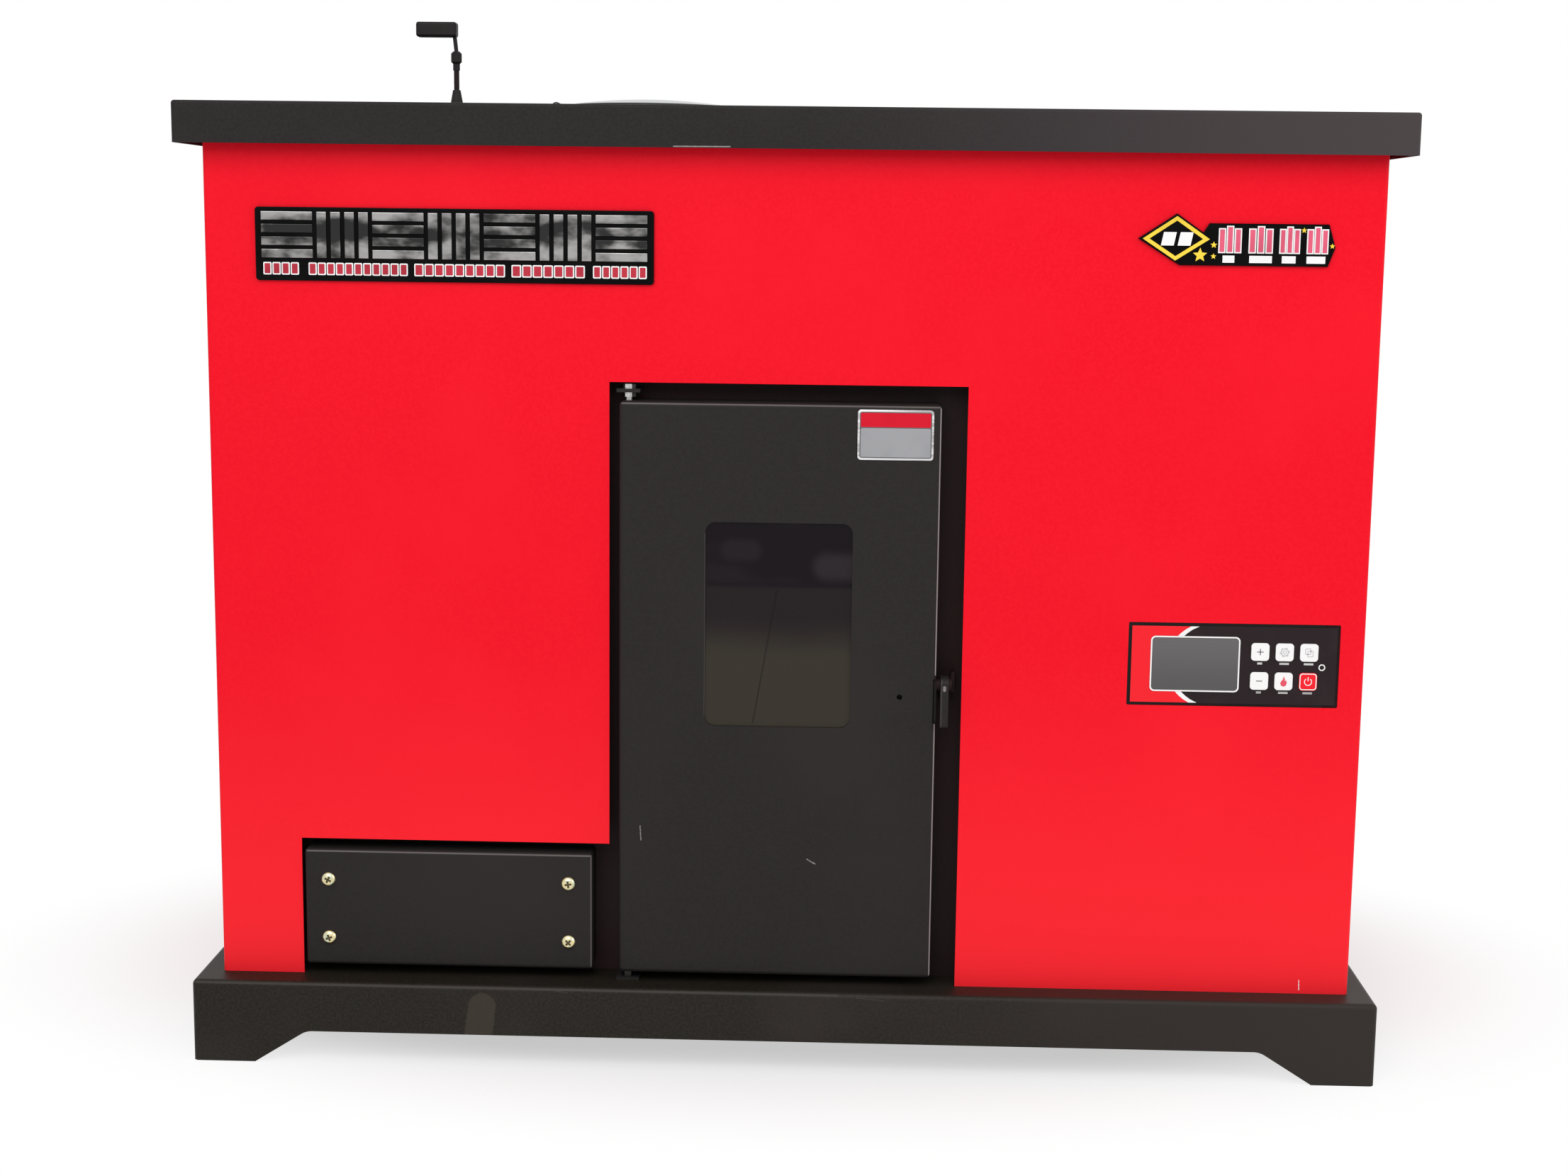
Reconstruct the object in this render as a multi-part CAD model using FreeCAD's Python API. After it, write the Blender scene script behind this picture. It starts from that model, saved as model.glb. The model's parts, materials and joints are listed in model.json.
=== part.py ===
import FreeCAD, Part
import math
import os

# Pellet boiler stove. Millimetres, +Z up, the front faces -Y, the origin lies
# on the floor under the middle of the outer box.

V = FreeCAD.Vector
X_AXIS = V(1, 0, 0)
Y_AXIS = V(0, 1, 0)
Z_AXIS = V(0, 0, 1)

# General fits
OVERRUN = 5.0               # how far a cutter runs past what it cuts
RUNNING_FIT = 0.05          # radial gap of a pin or shaft that turns
SEAT_FIT = 0.1              # gap round a fixed piece in its hole
FREE_GAP = 0.3              # gap between faces that slide past each other

# Cabinet
BODY_WIDTH = 1000.0
BODY_DEPTH = 560.0
HEADER_HEIGHT = 232.0       # door bay's top to the top of the top cover
PANEL_SHEET = 1.5
PANEL_BEND = 2.0            # inside bend radius
PANEL_RETURN = 22.0         # folded sides of the front and rear panels
PANEL_SEAM = 0.5
POST_LEG = 32.0
POST_SHEET = 2.5
TOP_SHEET = 1.5
TOP_BEND = 1.2
TOP_SKIRT = 35.0
TOP_OVERHANG = 20.0

# Plinth
PLINTH_HEIGHT = 74.0
PLINTH_SHEET = 2.0
PLINTH_BEND = 2.5
PLINTH_FRONT_OVERHANG = 27.5
PLINTH_REAR_OVERHANG = 10.0
PLINTH_SIDE_OVERHANG = 21.0
FOOT_WIDTH = 55.0
FOOT_SLOPE = 46.0
FOOT_PAD = 3.0
ARCH_HEIGHT = 29.0
ARCH_ROUND = 18.0

# Openings in the front panel
DOOR_BAY_HEADROOM = 1.5     # over the upper hinge's bolt head
LATCH_ROOM = 22.0           # door's right edge to the bay's right edge
FEED_BAY_MARGIN = 73.0      # cabinet's left side to the feed bay
FEED_BAY_HEADROOM = 9.0     # over the access cover

# Inner front plate and boiler body
PLATE_GAP = 4.0             # door's back edge to the plate
PLATE_SHEET = 3.0
PLATE_WING_LAP = 18.0
FEED_HATCH_INSET = 38.0
FIREBOX_MARGIN = 8.0        # fire opening's side to the firebox's wall
FIREBOX_HEADROOM = 40.0     # over the fire opening
REAR_SPACE = 92.0           # water jacket to the cabinet's rear
FIREBOX_WALL = 4.0
JACKET_GAP = 40.0
SHELL_WALL = 3.0
SMOKE_TUBE_RADIUS = 18.0
SMOKE_TUBE_WALL = 2.0
SMOKE_TUBE_ROWS = 3
SMOKE_TUBE_PITCH = 80.0
SMOKE_BOX_WIDTH = 180.0
SMOKE_BOX_END = 27.0        # from the jacket's back
SMOKE_BOX_MARGIN = 15.0     # over the fan's inlet
SMOKE_BOX_SHEET = 2.0
SMOKE_BOX_BEND = 2.0
SMOKE_BOX_INSET = 40.0      # from the jacket's right side
SMOKE_BOX_SETBACK = 90.0    # from the back of the inner front plate
PIPE_RADIUS = 16.6
PIPE_WALL = 3.0
PIPE_BEND = 42.0
PIPE_REACH = 40.0           # stub behind the rear panel
PIPE_OFFSET = 70.0          # from the jacket's right side
PIPE_NUT = 5.5              # how far the lock nut stands out round the pipe
PIPE_NUT_WIDTH = 8.0
FLOW_DROP = 70.0            # under the jacket's top
FLOW_INSET = 260.0          # from the cabinet's rear
RETURN_RISE = 66.0
RETURN_INSET = 230.0

# Door
DOOR_WIDTH = 276.0
DOOR_HEIGHT = 507.0
DOOR_DEPTH = 31.0
DOOR_SHEET = 2.0
DOOR_BEND = 2.2
DOOR_PROUD = 7.0
DOOR_GAP = 9.0              # to the bay's left edge
DOOR_LIFT = 8.5             # over the deck
DOOR_LAP = 26.0             # over the edge of the fire opening
WINDOW_SIDE = 74.5          # door's side to the window's side
WINDOW_BASE = 225.0         # door's lower edge to the window
WINDOW_DROP = 103.0         # door's upper edge to the window
WINDOW_ROUND = 9.0
GLASS_SHEET = 4.0
GLASS_LAP = 10.0
RETAINER_RIM = 6.0
RETAINER_DEPTH = 7.0
RETAINER_LIP = 3.0
LINER_SHEET = 1.5
LINER_SINK = 8.0            # door's back edge to the liner's flange
LINER_STEP = 6.0
LINER_INSET = 24.0
LINER_WINDOW_LAP = 22.0
GASKET_WIDTH = 10.0
GASKET_ROUND = 3.0
GASKET_INSET = 11.0
PEEP_RADIUS = 2.5
PEEP_INSET = 31.8
LABEL_WIDTH = 65.0
LABEL_HEIGHT = 43.0
LABEL_SHEET = 0.8
LABEL_ROUND = 2.0
LABEL_INSET = 7.0
LABEL_DROP = 4.5

# Door hinges
HINGE_INSET = 7.5
HINGE_OFFSET = 0.5          # behind the middle between the skin's front and the liner
HINGE_PIN_RADIUS = 3.0
HINGE_PIN_GRIP = 22.0       # length inside the door
HINGE_LEAF = 3.0
HINGE_LEAF_WIDTH = 20.0
HINGE_LEAF_NOSE = 8.0
HINGE_LEAF_RISE = 22.0
HINGE_GAP = 7.0             # door's upper edge to the upper bracket
HINGE_NUT_FLATS = 10.0
HINGE_NUT_HEIGHT = 4.0
HINGE_BLOCK = 8.0           # half width of the block that the pin turns in
HINGE_BLOCK_HEIGHT = 26.0
HINGE_BLOCK_GAP = 3.0       # to the liner

# Door latch
LATCH_RAISE = 10.0          # door's middle to the pivot
LATCH_DEPTH = 9.0           # behind the door's front
LATCH_GAP = 3.3
LATCH_THICK = 7.0
LATCH_BOSS = 8.0
LATCH_NOSE = 14.0
LATCH_TAB = 6.0
LATCH_DROP = 36.0
LATCH_TAB_ROUND = 2.8
LATCH_BOLT_RADIUS = 3.0
LATCH_BOLT_HEAD = 5.5
LATCH_BOLT_HEAD_HEIGHT = 2.6
LATCH_RELEASE = 22.0        # degrees from locked to released
HOOK_ARM = 5.0
HOOK_BEAK = 4.0
HOOK_BEAK_RISE = 2.5
HOOK_CLEAR = 0.6
KEEPER_STUD = 3.0
KEEPER_SHEET = 3.0
KEEPER_GAP = 3.0
KEEPER_STANDOFF = 9.0       # inner front plate to the stud's axis
KEEPER_HALF = 9.0
KEEPER_NOSE = 5.0
NOTCH_HEIGHT = 39.0
NOTCH_WIDTH = 3.0
NOTCH_DEPTH = 5.0
NOTCH_DROP = 33.0           # latch pivot to the notch's lower end

# Access cover
COVER_END_GAP = 15.0        # to the door bay
COVER_HEIGHT = 106.0
COVER_LIFT = 9.0
COVER_GAP = 3.0             # to the bay's left edge
COVER_PROUD = 3.0
COVER_SHEET = 1.5
COVER_BEND = 2.0
COVER_SCREW_INSET = 21.0
COVER_SCREW_RISE = 25.2
COVER_SCREW_DROP = 27.5
SCREW_RADIUS = 3.0
SCREW_LENGTH = 20.0
SCREW_HEAD_RADIUS = 6.2
SCREW_HEAD_HEIGHT = 3.6
SCREW_HEAD_ROUND = 2.4
STANDOFF_RADIUS = 6.0

# Auger
AUGER_OFFSET = 4.0          # behind the firebox's middle
AUGER_RISE = 71.5           # fire opening's sill to the pot's floor
AUGER_RADIUS = 30.0
AUGER_WALL = 2.0
AUGER_FLANGE = 42.0
AUGER_FLANGE_SHEET = 6.0
AUGER_START = 94.0          # cabinet's left side to the flange's end
AUGER_LEAD = 42.0           # flange's end to the neck
AUGER_NECK_LENGTH = 84.0
AUGER_NECK_WIDTH = 56.0
AUGER_NECK_RISE = 41.0      # axis to the neck's top
FLIGHT_RADIUS = 26.0
FLIGHT_END_GAP = 31.5       # to the burn pot
FLIGHT_SHEET = 2.5
FLIGHT_TURNS = 6
FLIGHT_ROOT = 1.5           # how deep the flight is let into its shaft
AUGER_SHAFT = 8.0
GEARBOX_LENGTH = 64.0
GEARBOX_HALF = 32.0
GEARBOX_BORE = 34.0
AUGER_MOTOR_RADIUS = 27.0
AUGER_MOTOR_LENGTH = 95.0
MOTOR_STAND_WIDTH = 50.0

# Burn pot, air duct and ash drawer
POT_WIDTH = 120.0
POT_HEIGHT = 94.0
POT_WALL = 8.0
POT_FLOOR = 10.0
POT_GAP = 10.0              # to the firebox's left wall
POT_HOLE = 4.0
POT_HOLE_PITCH = 18.0
DUCT_WIDTH = 60.0
DUCT_HEIGHT = 40.0
DUCT_WALL = 2.0
DUCT_RISE = 13.0            # pot's underside to the duct's underside
DRAWER_SIDE_GAP = 12.0
DRAWER_END_GAP = 34.0
DRAWER_HEIGHT = 48.0
DRAWER_SHEET = 1.5
DRAWER_BEND = 1.5
DRAWER_SETBACK = 6.0
DRAWER_PULL = 80.0
DRAWER_PULL_REACH = 7.0
DRAWER_PULL_DROP = 10.0

# Fans
FAN_OFFSET = 140.0          # jacket's right side to the combustion fan's axis
FAN_RADIUS = 62.0
FAN_WALL = 2.0
FAN_INLET = 34.0
FAN_OUTLET_REACH = 5.0      # past the drum
FAN_FOOT_WIDTH = 50.0
FAN_FOOT_SHEET = 3.0
EXHAUST_SIDE = 2.0          # spigot's side to the drum's end
EXHAUST_GAP = 6.0           # over the jacket's top
EXHAUST_HEADROOM = 13.5     # drum's top to the top cover's skirt
EXHAUST_INSET = 71.0        # smoke box's back to the fan's axis
EXHAUST_INLET = 36.0
FLUE_RADIUS = 40.0
FLUE_REACH = 60.0
FLUE_COLLAR = 5.0           # how far the stop collar stands out round the spigot
FLUE_COLLAR_WIDTH = 4.0
WHEEL_GAP = 8.0             # wheel's rim to its drum
WHEEL_SIDE_GAP = 7.0
WHEEL_DISC = 2.5
WHEEL_HUB = 11.0
WHEEL_BLADES = 12
BLADE_SHEET = 1.5
BLADE_ROOT_SHARE = 0.55     # inner end of a blade, of the wheel's radius
FAN_SHAFT = 4.0
FAN_MOTOR_RADIUS = 32.0
FAN_MOTOR_LENGTH = 58.0
FAN_SHAFT_GRIP = 35.0

# Hopper, fill lid and stirrer
HOPPER_SHEET = 2.0
HOPPER_SIDE_GAP = 34.0      # cabinet's left side to the hopper
HOPPER_FRONT_GAP = 62.0
HOPPER_BACK_GAP = 120.0
HOPPER_SHELL_GAP = 32.0     # hopper to the water jacket
HOPPER_SPOUT = 8.0
HOPPER_FUNNEL = 165.0
HOPPER_SHOULDER = 11.0      # slope's start under the jacket's top
HOPPER_COLLAR_DROP = 55.0
HOPPER_LAP = 20.0
FILL_CLEAR = 7.0            # hopper's rim to the smoke box
FILL_RADIUS = 72.0
COLLAR_WALL = 2.0
COLLAR_RISE = 8.0
COLLAR_FLANGE = 6.0
LID_SIDE_GAP = 2.5          # collar's flange to the lid's skirt
LID_SHEET = 1.5
LID_CROWN = 19.7            # top of the crown over the top cover
LID_RIM = 13.0              # shoulder over the top cover
LID_SEAL = 6.0
LID_LIP = 12.0
LID_LIP_SHEET = 2.0
LID_LIP_WIDTH = 36.0
LID_EAR_GAP = 0.6
LID_HINGE_DROP = 0.7        # under the shoulder
LID_PIN_RADIUS = 2.0
LID_PIN_HEAD = 3.2
LID_PIN_HEAD_LENGTH = 1.2
LID_EAR = 4.6
LID_EAR_SHEET = 3.0
LID_KNUCKLE = 4.0
LID_KNUCKLE_LENGTH = 10.0
LID_ARM = 3.0
LID_BASE = 18.0
LID_BASE_SHEET = 2.0
LID_BASE_MARGIN = 5.0
STIRRER_RADIUS = 2.5
STIRRER_BOTTOM = 30.0       # over the hopper's outlet
PADDLE_RADIUS = 2.5
PADDLE_RISE = 90.0
PADDLE_LOW_SHARE = 0.8      # lowest reach, of half the neck's length
PADDLE_TOP_SHARE = 0.62     # topmost reach, of the room beside the shaft
PADDLE_COUNT = 3
GLAND_BASE = 8.0
GLAND_NECK = 3.6
GLAND_HEIGHT = 24.5
SLEEVE_RADIUS = 3.2
SLEEVE_RISE = 42.6          # over the top cover
SLEEVE_LENGTH = 5.8
KNUCKLE_RADIUS = 5.0
KNUCKLE_LENGTH = 11.6
KNUCKLE_CHAMFER = 2.0
CRANK_RADIUS = 1.9
CRANK_LENGTH = 18.0
CRANK_SOCKET = 5.0
CRANK_LEAN = 6.0            # degrees from upright
GRIP_LENGTH = 38.0
GRIP_HEIGHT = 13.8
GRIP_THICK = 14.0
GRIP_ROUND = 2.5
GRIP_OVERLAP = 3.0
GRIP_BITE = 5.0

# Controls
CONTROL_POST_LAP = 9.5      # over the corner post
CONTROL_RISE = 294.0        # deck to the face's middle
CONTROL_WIDTH = 177.0
CONTROL_HEIGHT = 68.0
CONTROL_SHEET = 2.0
CONTROL_ROUND = 1.5
CONTROL_GAP = 2.5
CONTROL_FLANGE = 9.0
CONTROL_FLANGE_SHEET = 3.0
CONTROL_BOX_INSET = 5.0
CONTROL_BOX_DEPTH = 36.0
CONTROL_BOX_WALL = 2.0
DISPLAY_MARGIN = 16.9       # face's left end to the display
DISPLAY_GAP = 9.6           # display to the buttons
DISPLAY_Z = 0.6
DISPLAY_HEIGHT = 48.6
DISPLAY_ROUND = 4.0
DISPLAY_PROUD = 0.4
BUTTON_SIZE = 15.4
BUTTON_ROUND = 3.0
BUTTON_MARGIN = 16.3        # buttons to the face's right end
BUTTON_Z = -0.5
BUTTON_SPACE_X = 5.6
BUTTON_SPACE_Z = 10.1
BUTTON_PROUD = 1.2
BUTTON_RIM = 1.0
BUTTON_RIM_SHEET = 1.0
BUTTON_BACK_GAP = 0.1
BUTTON_NAMES = (
    ("plus_button", "settings_button", "mode_button"),
    ("minus_button", "flame_button", "power_button"),
)

# Nameplates and power inlet
PLATE_THICK = 3.0
LEFT_PLATE_INSET = 44.6     # from the cabinet's left side
LEFT_PLATE_DROP = 118.3     # top to the plate's middle
LEFT_PLATE_WIDTH = 340.0
LEFT_PLATE_HEIGHT = 62.0
LEFT_PLATE_ROUND = 3.0
RIGHT_PLATE_INSET = 42.5    # from the cabinet's right side
RIGHT_PLATE_DROP = 105.7
RIGHT_PLATE_WIDTH = 165.0
RIGHT_PLATE_HEIGHT = 43.0
RIGHT_PLATE_SHARES = (      # a diamond that runs into a strip
    (0.0, 0.51), (0.187, 0.06), (0.215, 0.0), (0.965, 0.0), (1.0, 0.37), (0.965, 0.82), (0.36, 0.82),
    (0.33, 0.64), (0.194, 1.0))
INLET_INSET = 100.0         # from the cabinet's right side
INLET_RISE = 90.0
INLET_WIDTH = 48.0
INLET_HEIGHT = 27.0
INLET_FLANGE = 4.0
INLET_FLANGE_SHEET = 3.0
INLET_DEPTH = 28.0
INLET_SOCKET_WIDTH = 25.0
INLET_SOCKET_HEIGHT = 17.0
INLET_SOCKET_DEPTH = 15.0
INLET_PIN = 4.0
INLET_PIN_SHEET = 2.0
INLET_PIN_PITCH = 7.0
INLET_ROUND = 2.0

# Rear vents
VENT_COUNT = 7
VENT_PITCH = 14.0
VENT_LENGTH = 120.0
VENT_HEIGHT = 5.0
VENT_INSET = 160.0          # cabinet's right side to the middle
VENT_RISE = 420.0

# Places that several pieces share
half_width = BODY_WIDTH / 2
y_front = (PLINTH_FRONT_OVERHANG - BODY_DEPTH - FLUE_REACH) / 2
y_rear = y_front + BODY_DEPTH
z_deck = PLINTH_HEIGHT
bay_width = DOOR_GAP + DOOR_WIDTH + LATCH_ROOM
bay_left = -bay_width / 2
bay_right = bay_width / 2
feed_left = -half_width + FEED_BAY_MARGIN

door_left = bay_left + DOOR_GAP
door_right = door_left + DOOR_WIDTH
door_mid = (door_left + door_right) / 2
door_front = y_front - DOOR_PROUD
door_back = door_front + DOOR_DEPTH
door_bottom = z_deck + DOOR_LIFT
door_top = door_bottom + DOOR_HEIGHT
door_level = (door_bottom + door_top) / 2
liner_front = door_back - LINER_SINK
window_width = DOOR_WIDTH - WINDOW_SIDE * 2
window_height = DOOR_HEIGHT - WINDOW_BASE - WINDOW_DROP
window_mid = door_bottom + WINDOW_BASE + window_height / 2
hinge_x = door_left + HINGE_INSET
hinge_y = (door_front + liner_front) / 2 + HINGE_OFFSET
hinge_top = door_top + HINGE_GAP + HINGE_LEAF + HINGE_NUT_HEIGHT

bay_top = hinge_top + DOOR_BAY_HEADROOM
z_top = bay_top + HEADER_HEIGHT
z_under = z_top - TOP_SHEET
z_rail = z_under - HOPPER_SHEET
plate_front = door_back + PLATE_GAP
plate_back = plate_front + PLATE_SHEET
fire_left = door_left + DOOR_LAP
fire_right = door_right - DOOR_LAP
fire_bottom = door_bottom + DOOR_LAP
fire_top = door_top - DOOR_LAP

latch_y = door_front + LATCH_DEPTH
latch_z = door_level + LATCH_RAISE
latch_left = door_right + LATCH_GAP
latch_right = latch_left + LATCH_THICK
stud_y = plate_front - KEEPER_STANDOFF

jacket = FIREBOX_WALL + JACKET_GAP + SHELL_WALL
box_left = fire_left - FIREBOX_MARGIN
box_right = fire_right + FIREBOX_MARGIN
box_top = fire_top + FIREBOX_HEADROOM
shell_left = box_left - jacket
shell_right = box_right + jacket
shell_back = y_rear - REAR_SPACE
shell_top = box_top + jacket
box_back = shell_back - jacket

cover_left = feed_left + COVER_GAP
cover_right = bay_left - COVER_END_GAP
cover_front = y_front - COVER_PROUD
cover_bottom = z_deck + COVER_LIFT
cover_top = cover_bottom + COVER_HEIGHT
feed_top = cover_top + FEED_BAY_HEADROOM

auger_y = (plate_back + box_back) / 2 + AUGER_OFFSET
pot_bottom = fire_bottom + AUGER_RISE - POT_FLOOR
auger_z = pot_bottom + POT_FLOOR + AUGER_RADIUS
pot_left = box_left + POT_GAP
pot_right = pot_left + POT_WIDTH
tube_left = -half_width + AUGER_START
stirrer_x = tube_left + AUGER_LEAD + AUGER_NECK_LENGTH / 2
neck_top = auger_z + AUGER_NECK_RISE
duct_bottom = pot_bottom + DUCT_RISE
duct_top = duct_bottom + DUCT_HEIGHT
fan_x = shell_right + FAN_OFFSET
fan_z = duct_bottom + DUCT_WALL + FAN_RADIUS
fan_outlet = fan_x - FAN_RADIUS - FAN_WALL - FAN_OUTLET_REACH

smoke_right = shell_right - SMOKE_BOX_INSET
smoke_left = smoke_right - SMOKE_BOX_WIDTH
smoke_front = plate_back + SMOKE_BOX_SETBACK
smoke_back = shell_back - SMOKE_BOX_END
exhaust_width = (FLUE_RADIUS + EXHAUST_SIDE) * 2
exhaust_right = smoke_right + exhaust_width
exhaust_y = smoke_back - EXHAUST_INSET
exhaust_bottom = shell_top + EXHAUST_GAP
exhaust_top = z_top - TOP_SKIRT - EXHAUST_HEADROOM
exhaust_radius = (exhaust_top - exhaust_bottom) / 2 - FAN_WALL
exhaust_z = (exhaust_top + exhaust_bottom) / 2
smoke_top = exhaust_z + EXHAUST_INLET + SMOKE_BOX_MARGIN
flue_x = smoke_right + exhaust_width / 2
flue_z = exhaust_top - FLUE_RADIUS
pipe_x = shell_right + PIPE_OFFSET
pipe_end = y_rear + PIPE_REACH
flow_y = y_rear - FLOW_INSET
flow_z = shell_top - FLOW_DROP
return_y = y_rear - RETURN_INSET
return_z = z_deck + RETURN_RISE

collar_radius = FILL_RADIUS + COLLAR_WALL
bin_left = -half_width + HOPPER_SIDE_GAP
bin_right = shell_left - HOPPER_SHELL_GAP
rim_right = smoke_left - FILL_CLEAR
fill_x = rim_right - HOPPER_SHEET * 2 - collar_radius
fill_y = (y_front + y_rear) / 2
lid_radius = collar_radius + COLLAR_FLANGE + LID_SIDE_GAP + LID_SHEET
lid_hinge_x = fill_x - lid_radius - LID_EAR - LID_EAR_GAP
lid_hinge_z = z_top + LID_RIM - LID_HINGE_DROP

control_x = half_width - PANEL_SHEET - POST_LEG + CONTROL_POST_LAP - CONTROL_WIDTH / 2
control_z = z_deck + CONTROL_RISE
control_back = y_front + PANEL_SHEET
control_front = control_back - CONTROL_SHEET
button_pitch_x = BUTTON_SIZE + BUTTON_SPACE_X
button_pitch_z = BUTTON_SIZE + BUTTON_SPACE_Z
buttons_half = BUTTON_SIZE / 2 + button_pitch_x
button_x = control_x + CONTROL_WIDTH / 2 - BUTTON_MARGIN - buttons_half
display_left = control_x - CONTROL_WIDTH / 2 + DISPLAY_MARGIN
display_right = button_x - buttons_half - DISPLAY_GAP
inlet_x = half_width - INLET_INSET
vent_x = half_width - VENT_INSET


# Shape helpers

def block(x, y, z):
    """Box between the low and high ends of three spans."""
    return Part.makeBox(x[1] - x[0], y[1] - y[0], z[1] - z[0], V(x[0], y[0], z[0]))


def around(middle, size):
    """Span of a size about its middle."""
    return (middle - size / 2, middle + size / 2)


def grown(span, margin):
    """Span made longer by a margin at both ends."""
    return (span[0] - margin, span[1] + margin)


def rod(start, axis, length, radius):
    """Cylinder from a point along an axis."""
    return Part.makeCylinder(radius, length, start, axis)


def tube(start, axis, length, radius, wall):
    """Open pipe from a point along an axis."""
    bore_start = start - axis * OVERRUN
    bore = rod(bore_start, axis, length + OVERRUN * 2, radius - wall)
    return rod(start, axis, length, radius).cut(bore)


def at_level(edge, axis, level):
    """True where an edge lies in the plane of one level of an axis."""
    return all(abs(v.Point[axis] - level) < FreeCAD.Base.Precision.confusion() for v in edge.Vertexes)


def runs_along(edge, axis):
    """True where a straight edge is parallel to an axis."""
    first, last = (v.Point for v in edge.Vertexes)
    near = FreeCAD.Base.Precision.confusion()
    return all(abs(first[i] - last[i]) < near for i in range(len(first)) if i != axis)


def edge_at(edge, axis, first, second):
    """True where a straight edge along an axis lies at one level of each other axis."""
    low, high = (i for i in range(len(X_AXIS)) if i != axis)
    straight = len(edge.Vertexes) == 2 and runs_along(edge, axis)
    return straight and at_level(edge, low, first) and at_level(edge, high, second)


def rounded_block(x, y, z, radius, axis):
    """Box with its four edges along one axis rounded."""
    solid = block(x, y, z)
    return solid.makeFillet(radius, [e for e in solid.Edges if runs_along(e, axis)])


def rounded_but(spans, radius, axis, side):
    """Box with every edge rounded but those of one side."""
    solid = block(*spans)
    level = spans[axis][side]
    return solid.makeFillet(radius, [e for e in solid.Edges if not at_level(e, axis, level)])


def tray(spans, sheet, bend, axis, side):
    """Folded sheet box that is open on one side."""
    inner = [(low + sheet, high - sheet) for low, high in spans]
    low, high = inner[axis]
    open_end = spans[axis][side]
    inner[axis] = (low, open_end + OVERRUN) if side else (open_end - OVERRUN, high)
    outside = rounded_but(spans, bend + sheet, axis, side)
    return outside.cut(rounded_but(inner, bend, axis, side))


def channel(x, y, z, sheet, bend, side):
    """Upright sheet with both vertical edges folded towards one side in y."""
    shut = 1 - side
    inner_y = (y[0] + sheet, y[1] + OVERRUN) if side else (y[0] - OVERRUN, y[1] - sheet)
    outside = block(x, y, z)
    inside = block(grown(x, -sheet), inner_y, grown(z, OVERRUN))
    outside = outside.makeFillet(
        bend + sheet, [e for e in outside.Edges if runs_along(e, 2) and at_level(e, 1, y[shut])])
    inside = inside.makeFillet(
        bend, [e for e in inside.Edges if runs_along(e, 2) and at_level(e, 1, inner_y[shut])])
    return outside.cut(inside)


def prism(points, reach):
    """Solid swept straight from a flat outline."""
    return Part.Face(Part.makePolygon(points + points[:1])).extrude(reach)


def hexagon(centre, flats, height):
    """Hexagonal bar standing on its centre, along z."""
    radius = flats / math.sqrt(3)
    corners = [math.radians(60 * i) for i in range(6)]
    points = [centre + V(radius * math.cos(a), radius * math.sin(a), 0) for a in corners]
    return prism(points, Z_AXIS * height)


def joined(first, *others):
    """One solid from touching or overlapping shapes."""
    return first.multiFuse(list(others)).removeSplitter()


def cut_all(solid, cutters):
    """Solid less a list of cutters."""
    return solid.cut(Part.makeCompound(list(cutters)))


def flat_sided(low, high):
    """Solid with flat faces between two level outlines of as many corners."""
    outlines = [low, high]
    for i in range(len(low)):
        outlines.append([low[i - 1], low[i], high[i], high[i - 1]])
    faces = [Part.Face(Part.makePolygon(outline + outline[:1])) for outline in outlines]
    return Part.Solid(Part.Shell(faces))


def level_corners(x, y, z):
    """Corners of a flat rectangle at one height, in turn."""
    return [V(x[0], y[0], z), V(x[1], y[0], z), V(x[1], y[1], z), V(x[0], y[1], z)]


# Cabinet

def arch_cutter(low, high):
    """Outline of the cut between two feet: a list of (along, up) points."""
    start, stop = low + FOOT_WIDTH, high - FOOT_WIDTH
    return [(start, -OVERRUN), (start, 0), (start + FOOT_SLOPE, ARCH_HEIGHT),
            (stop - FOOT_SLOPE, ARCH_HEIGHT), (stop, 0), (stop, -OVERRUN)]


def plinth():
    x = grown((-half_width, half_width), PLINTH_SIDE_OVERHANG)
    y = (y_front - PLINTH_FRONT_OVERHANG, y_rear + PLINTH_REAR_OVERHANG)
    body = tray([x, y, (0, PLINTH_HEIGHT)], PLINTH_SHEET, PLINTH_BEND, 2, 0)
    pads = []
    for x_pad in ((x[0], x[0] + FOOT_WIDTH), (x[1] - FOOT_WIDTH, x[1])):
        for y_pad in ((y[0], y[0] + FOOT_WIDTH), (y[1] - FOOT_WIDTH, y[1])):
            pad = rounded_block(x_pad, y_pad, (0, FOOT_PAD), PLINTH_BEND + PLINTH_SHEET, 2)
            pads.append(pad)
    front_points = [V(a, y[0] - OVERRUN, up) for a, up in arch_cutter(*x)]
    side_points = [V(x[0] - OVERRUN, a, up) for a, up in arch_cutter(*y)]
    cutters = []
    for points, axis, span in ((front_points, 1, y), (side_points, 0, x)):
        reach = V(0, 0, 0)
        reach[axis] = span[1] - span[0] + OVERRUN * 2
        cutter = prism(points, reach)
        tops = [e for e in cutter.Edges if runs_along(e, axis) and at_level(e, 2, ARCH_HEIGHT)]
        cutters.append(cutter.makeFillet(ARCH_ROUND, tops))
    return joined(cut_all(body, cutters), *pads)


def front_panel():
    x = (-half_width, half_width)
    z = (z_deck, z_under - PANEL_SEAM)
    y = (y_front, y_front + PANEL_RETURN)
    sheet = channel(x, y, z, PANEL_SHEET, PANEL_BEND, 1)
    through = grown((y_front, y_front + PANEL_SHEET), OVERRUN)
    below = z_deck - OVERRUN
    door_bay = block((bay_left, bay_right), through, (below, bay_top))
    feed_bay = block((feed_left, bay_left + OVERRUN), through, (below, feed_top))
    control_bay = rounded_block(
        around(control_x, CONTROL_WIDTH + CONTROL_GAP * 2), through,
        around(control_z, CONTROL_HEIGHT + CONTROL_GAP * 2), CONTROL_ROUND, 1)
    return cut_all(sheet, [door_bay, feed_bay, control_bay])


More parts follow.
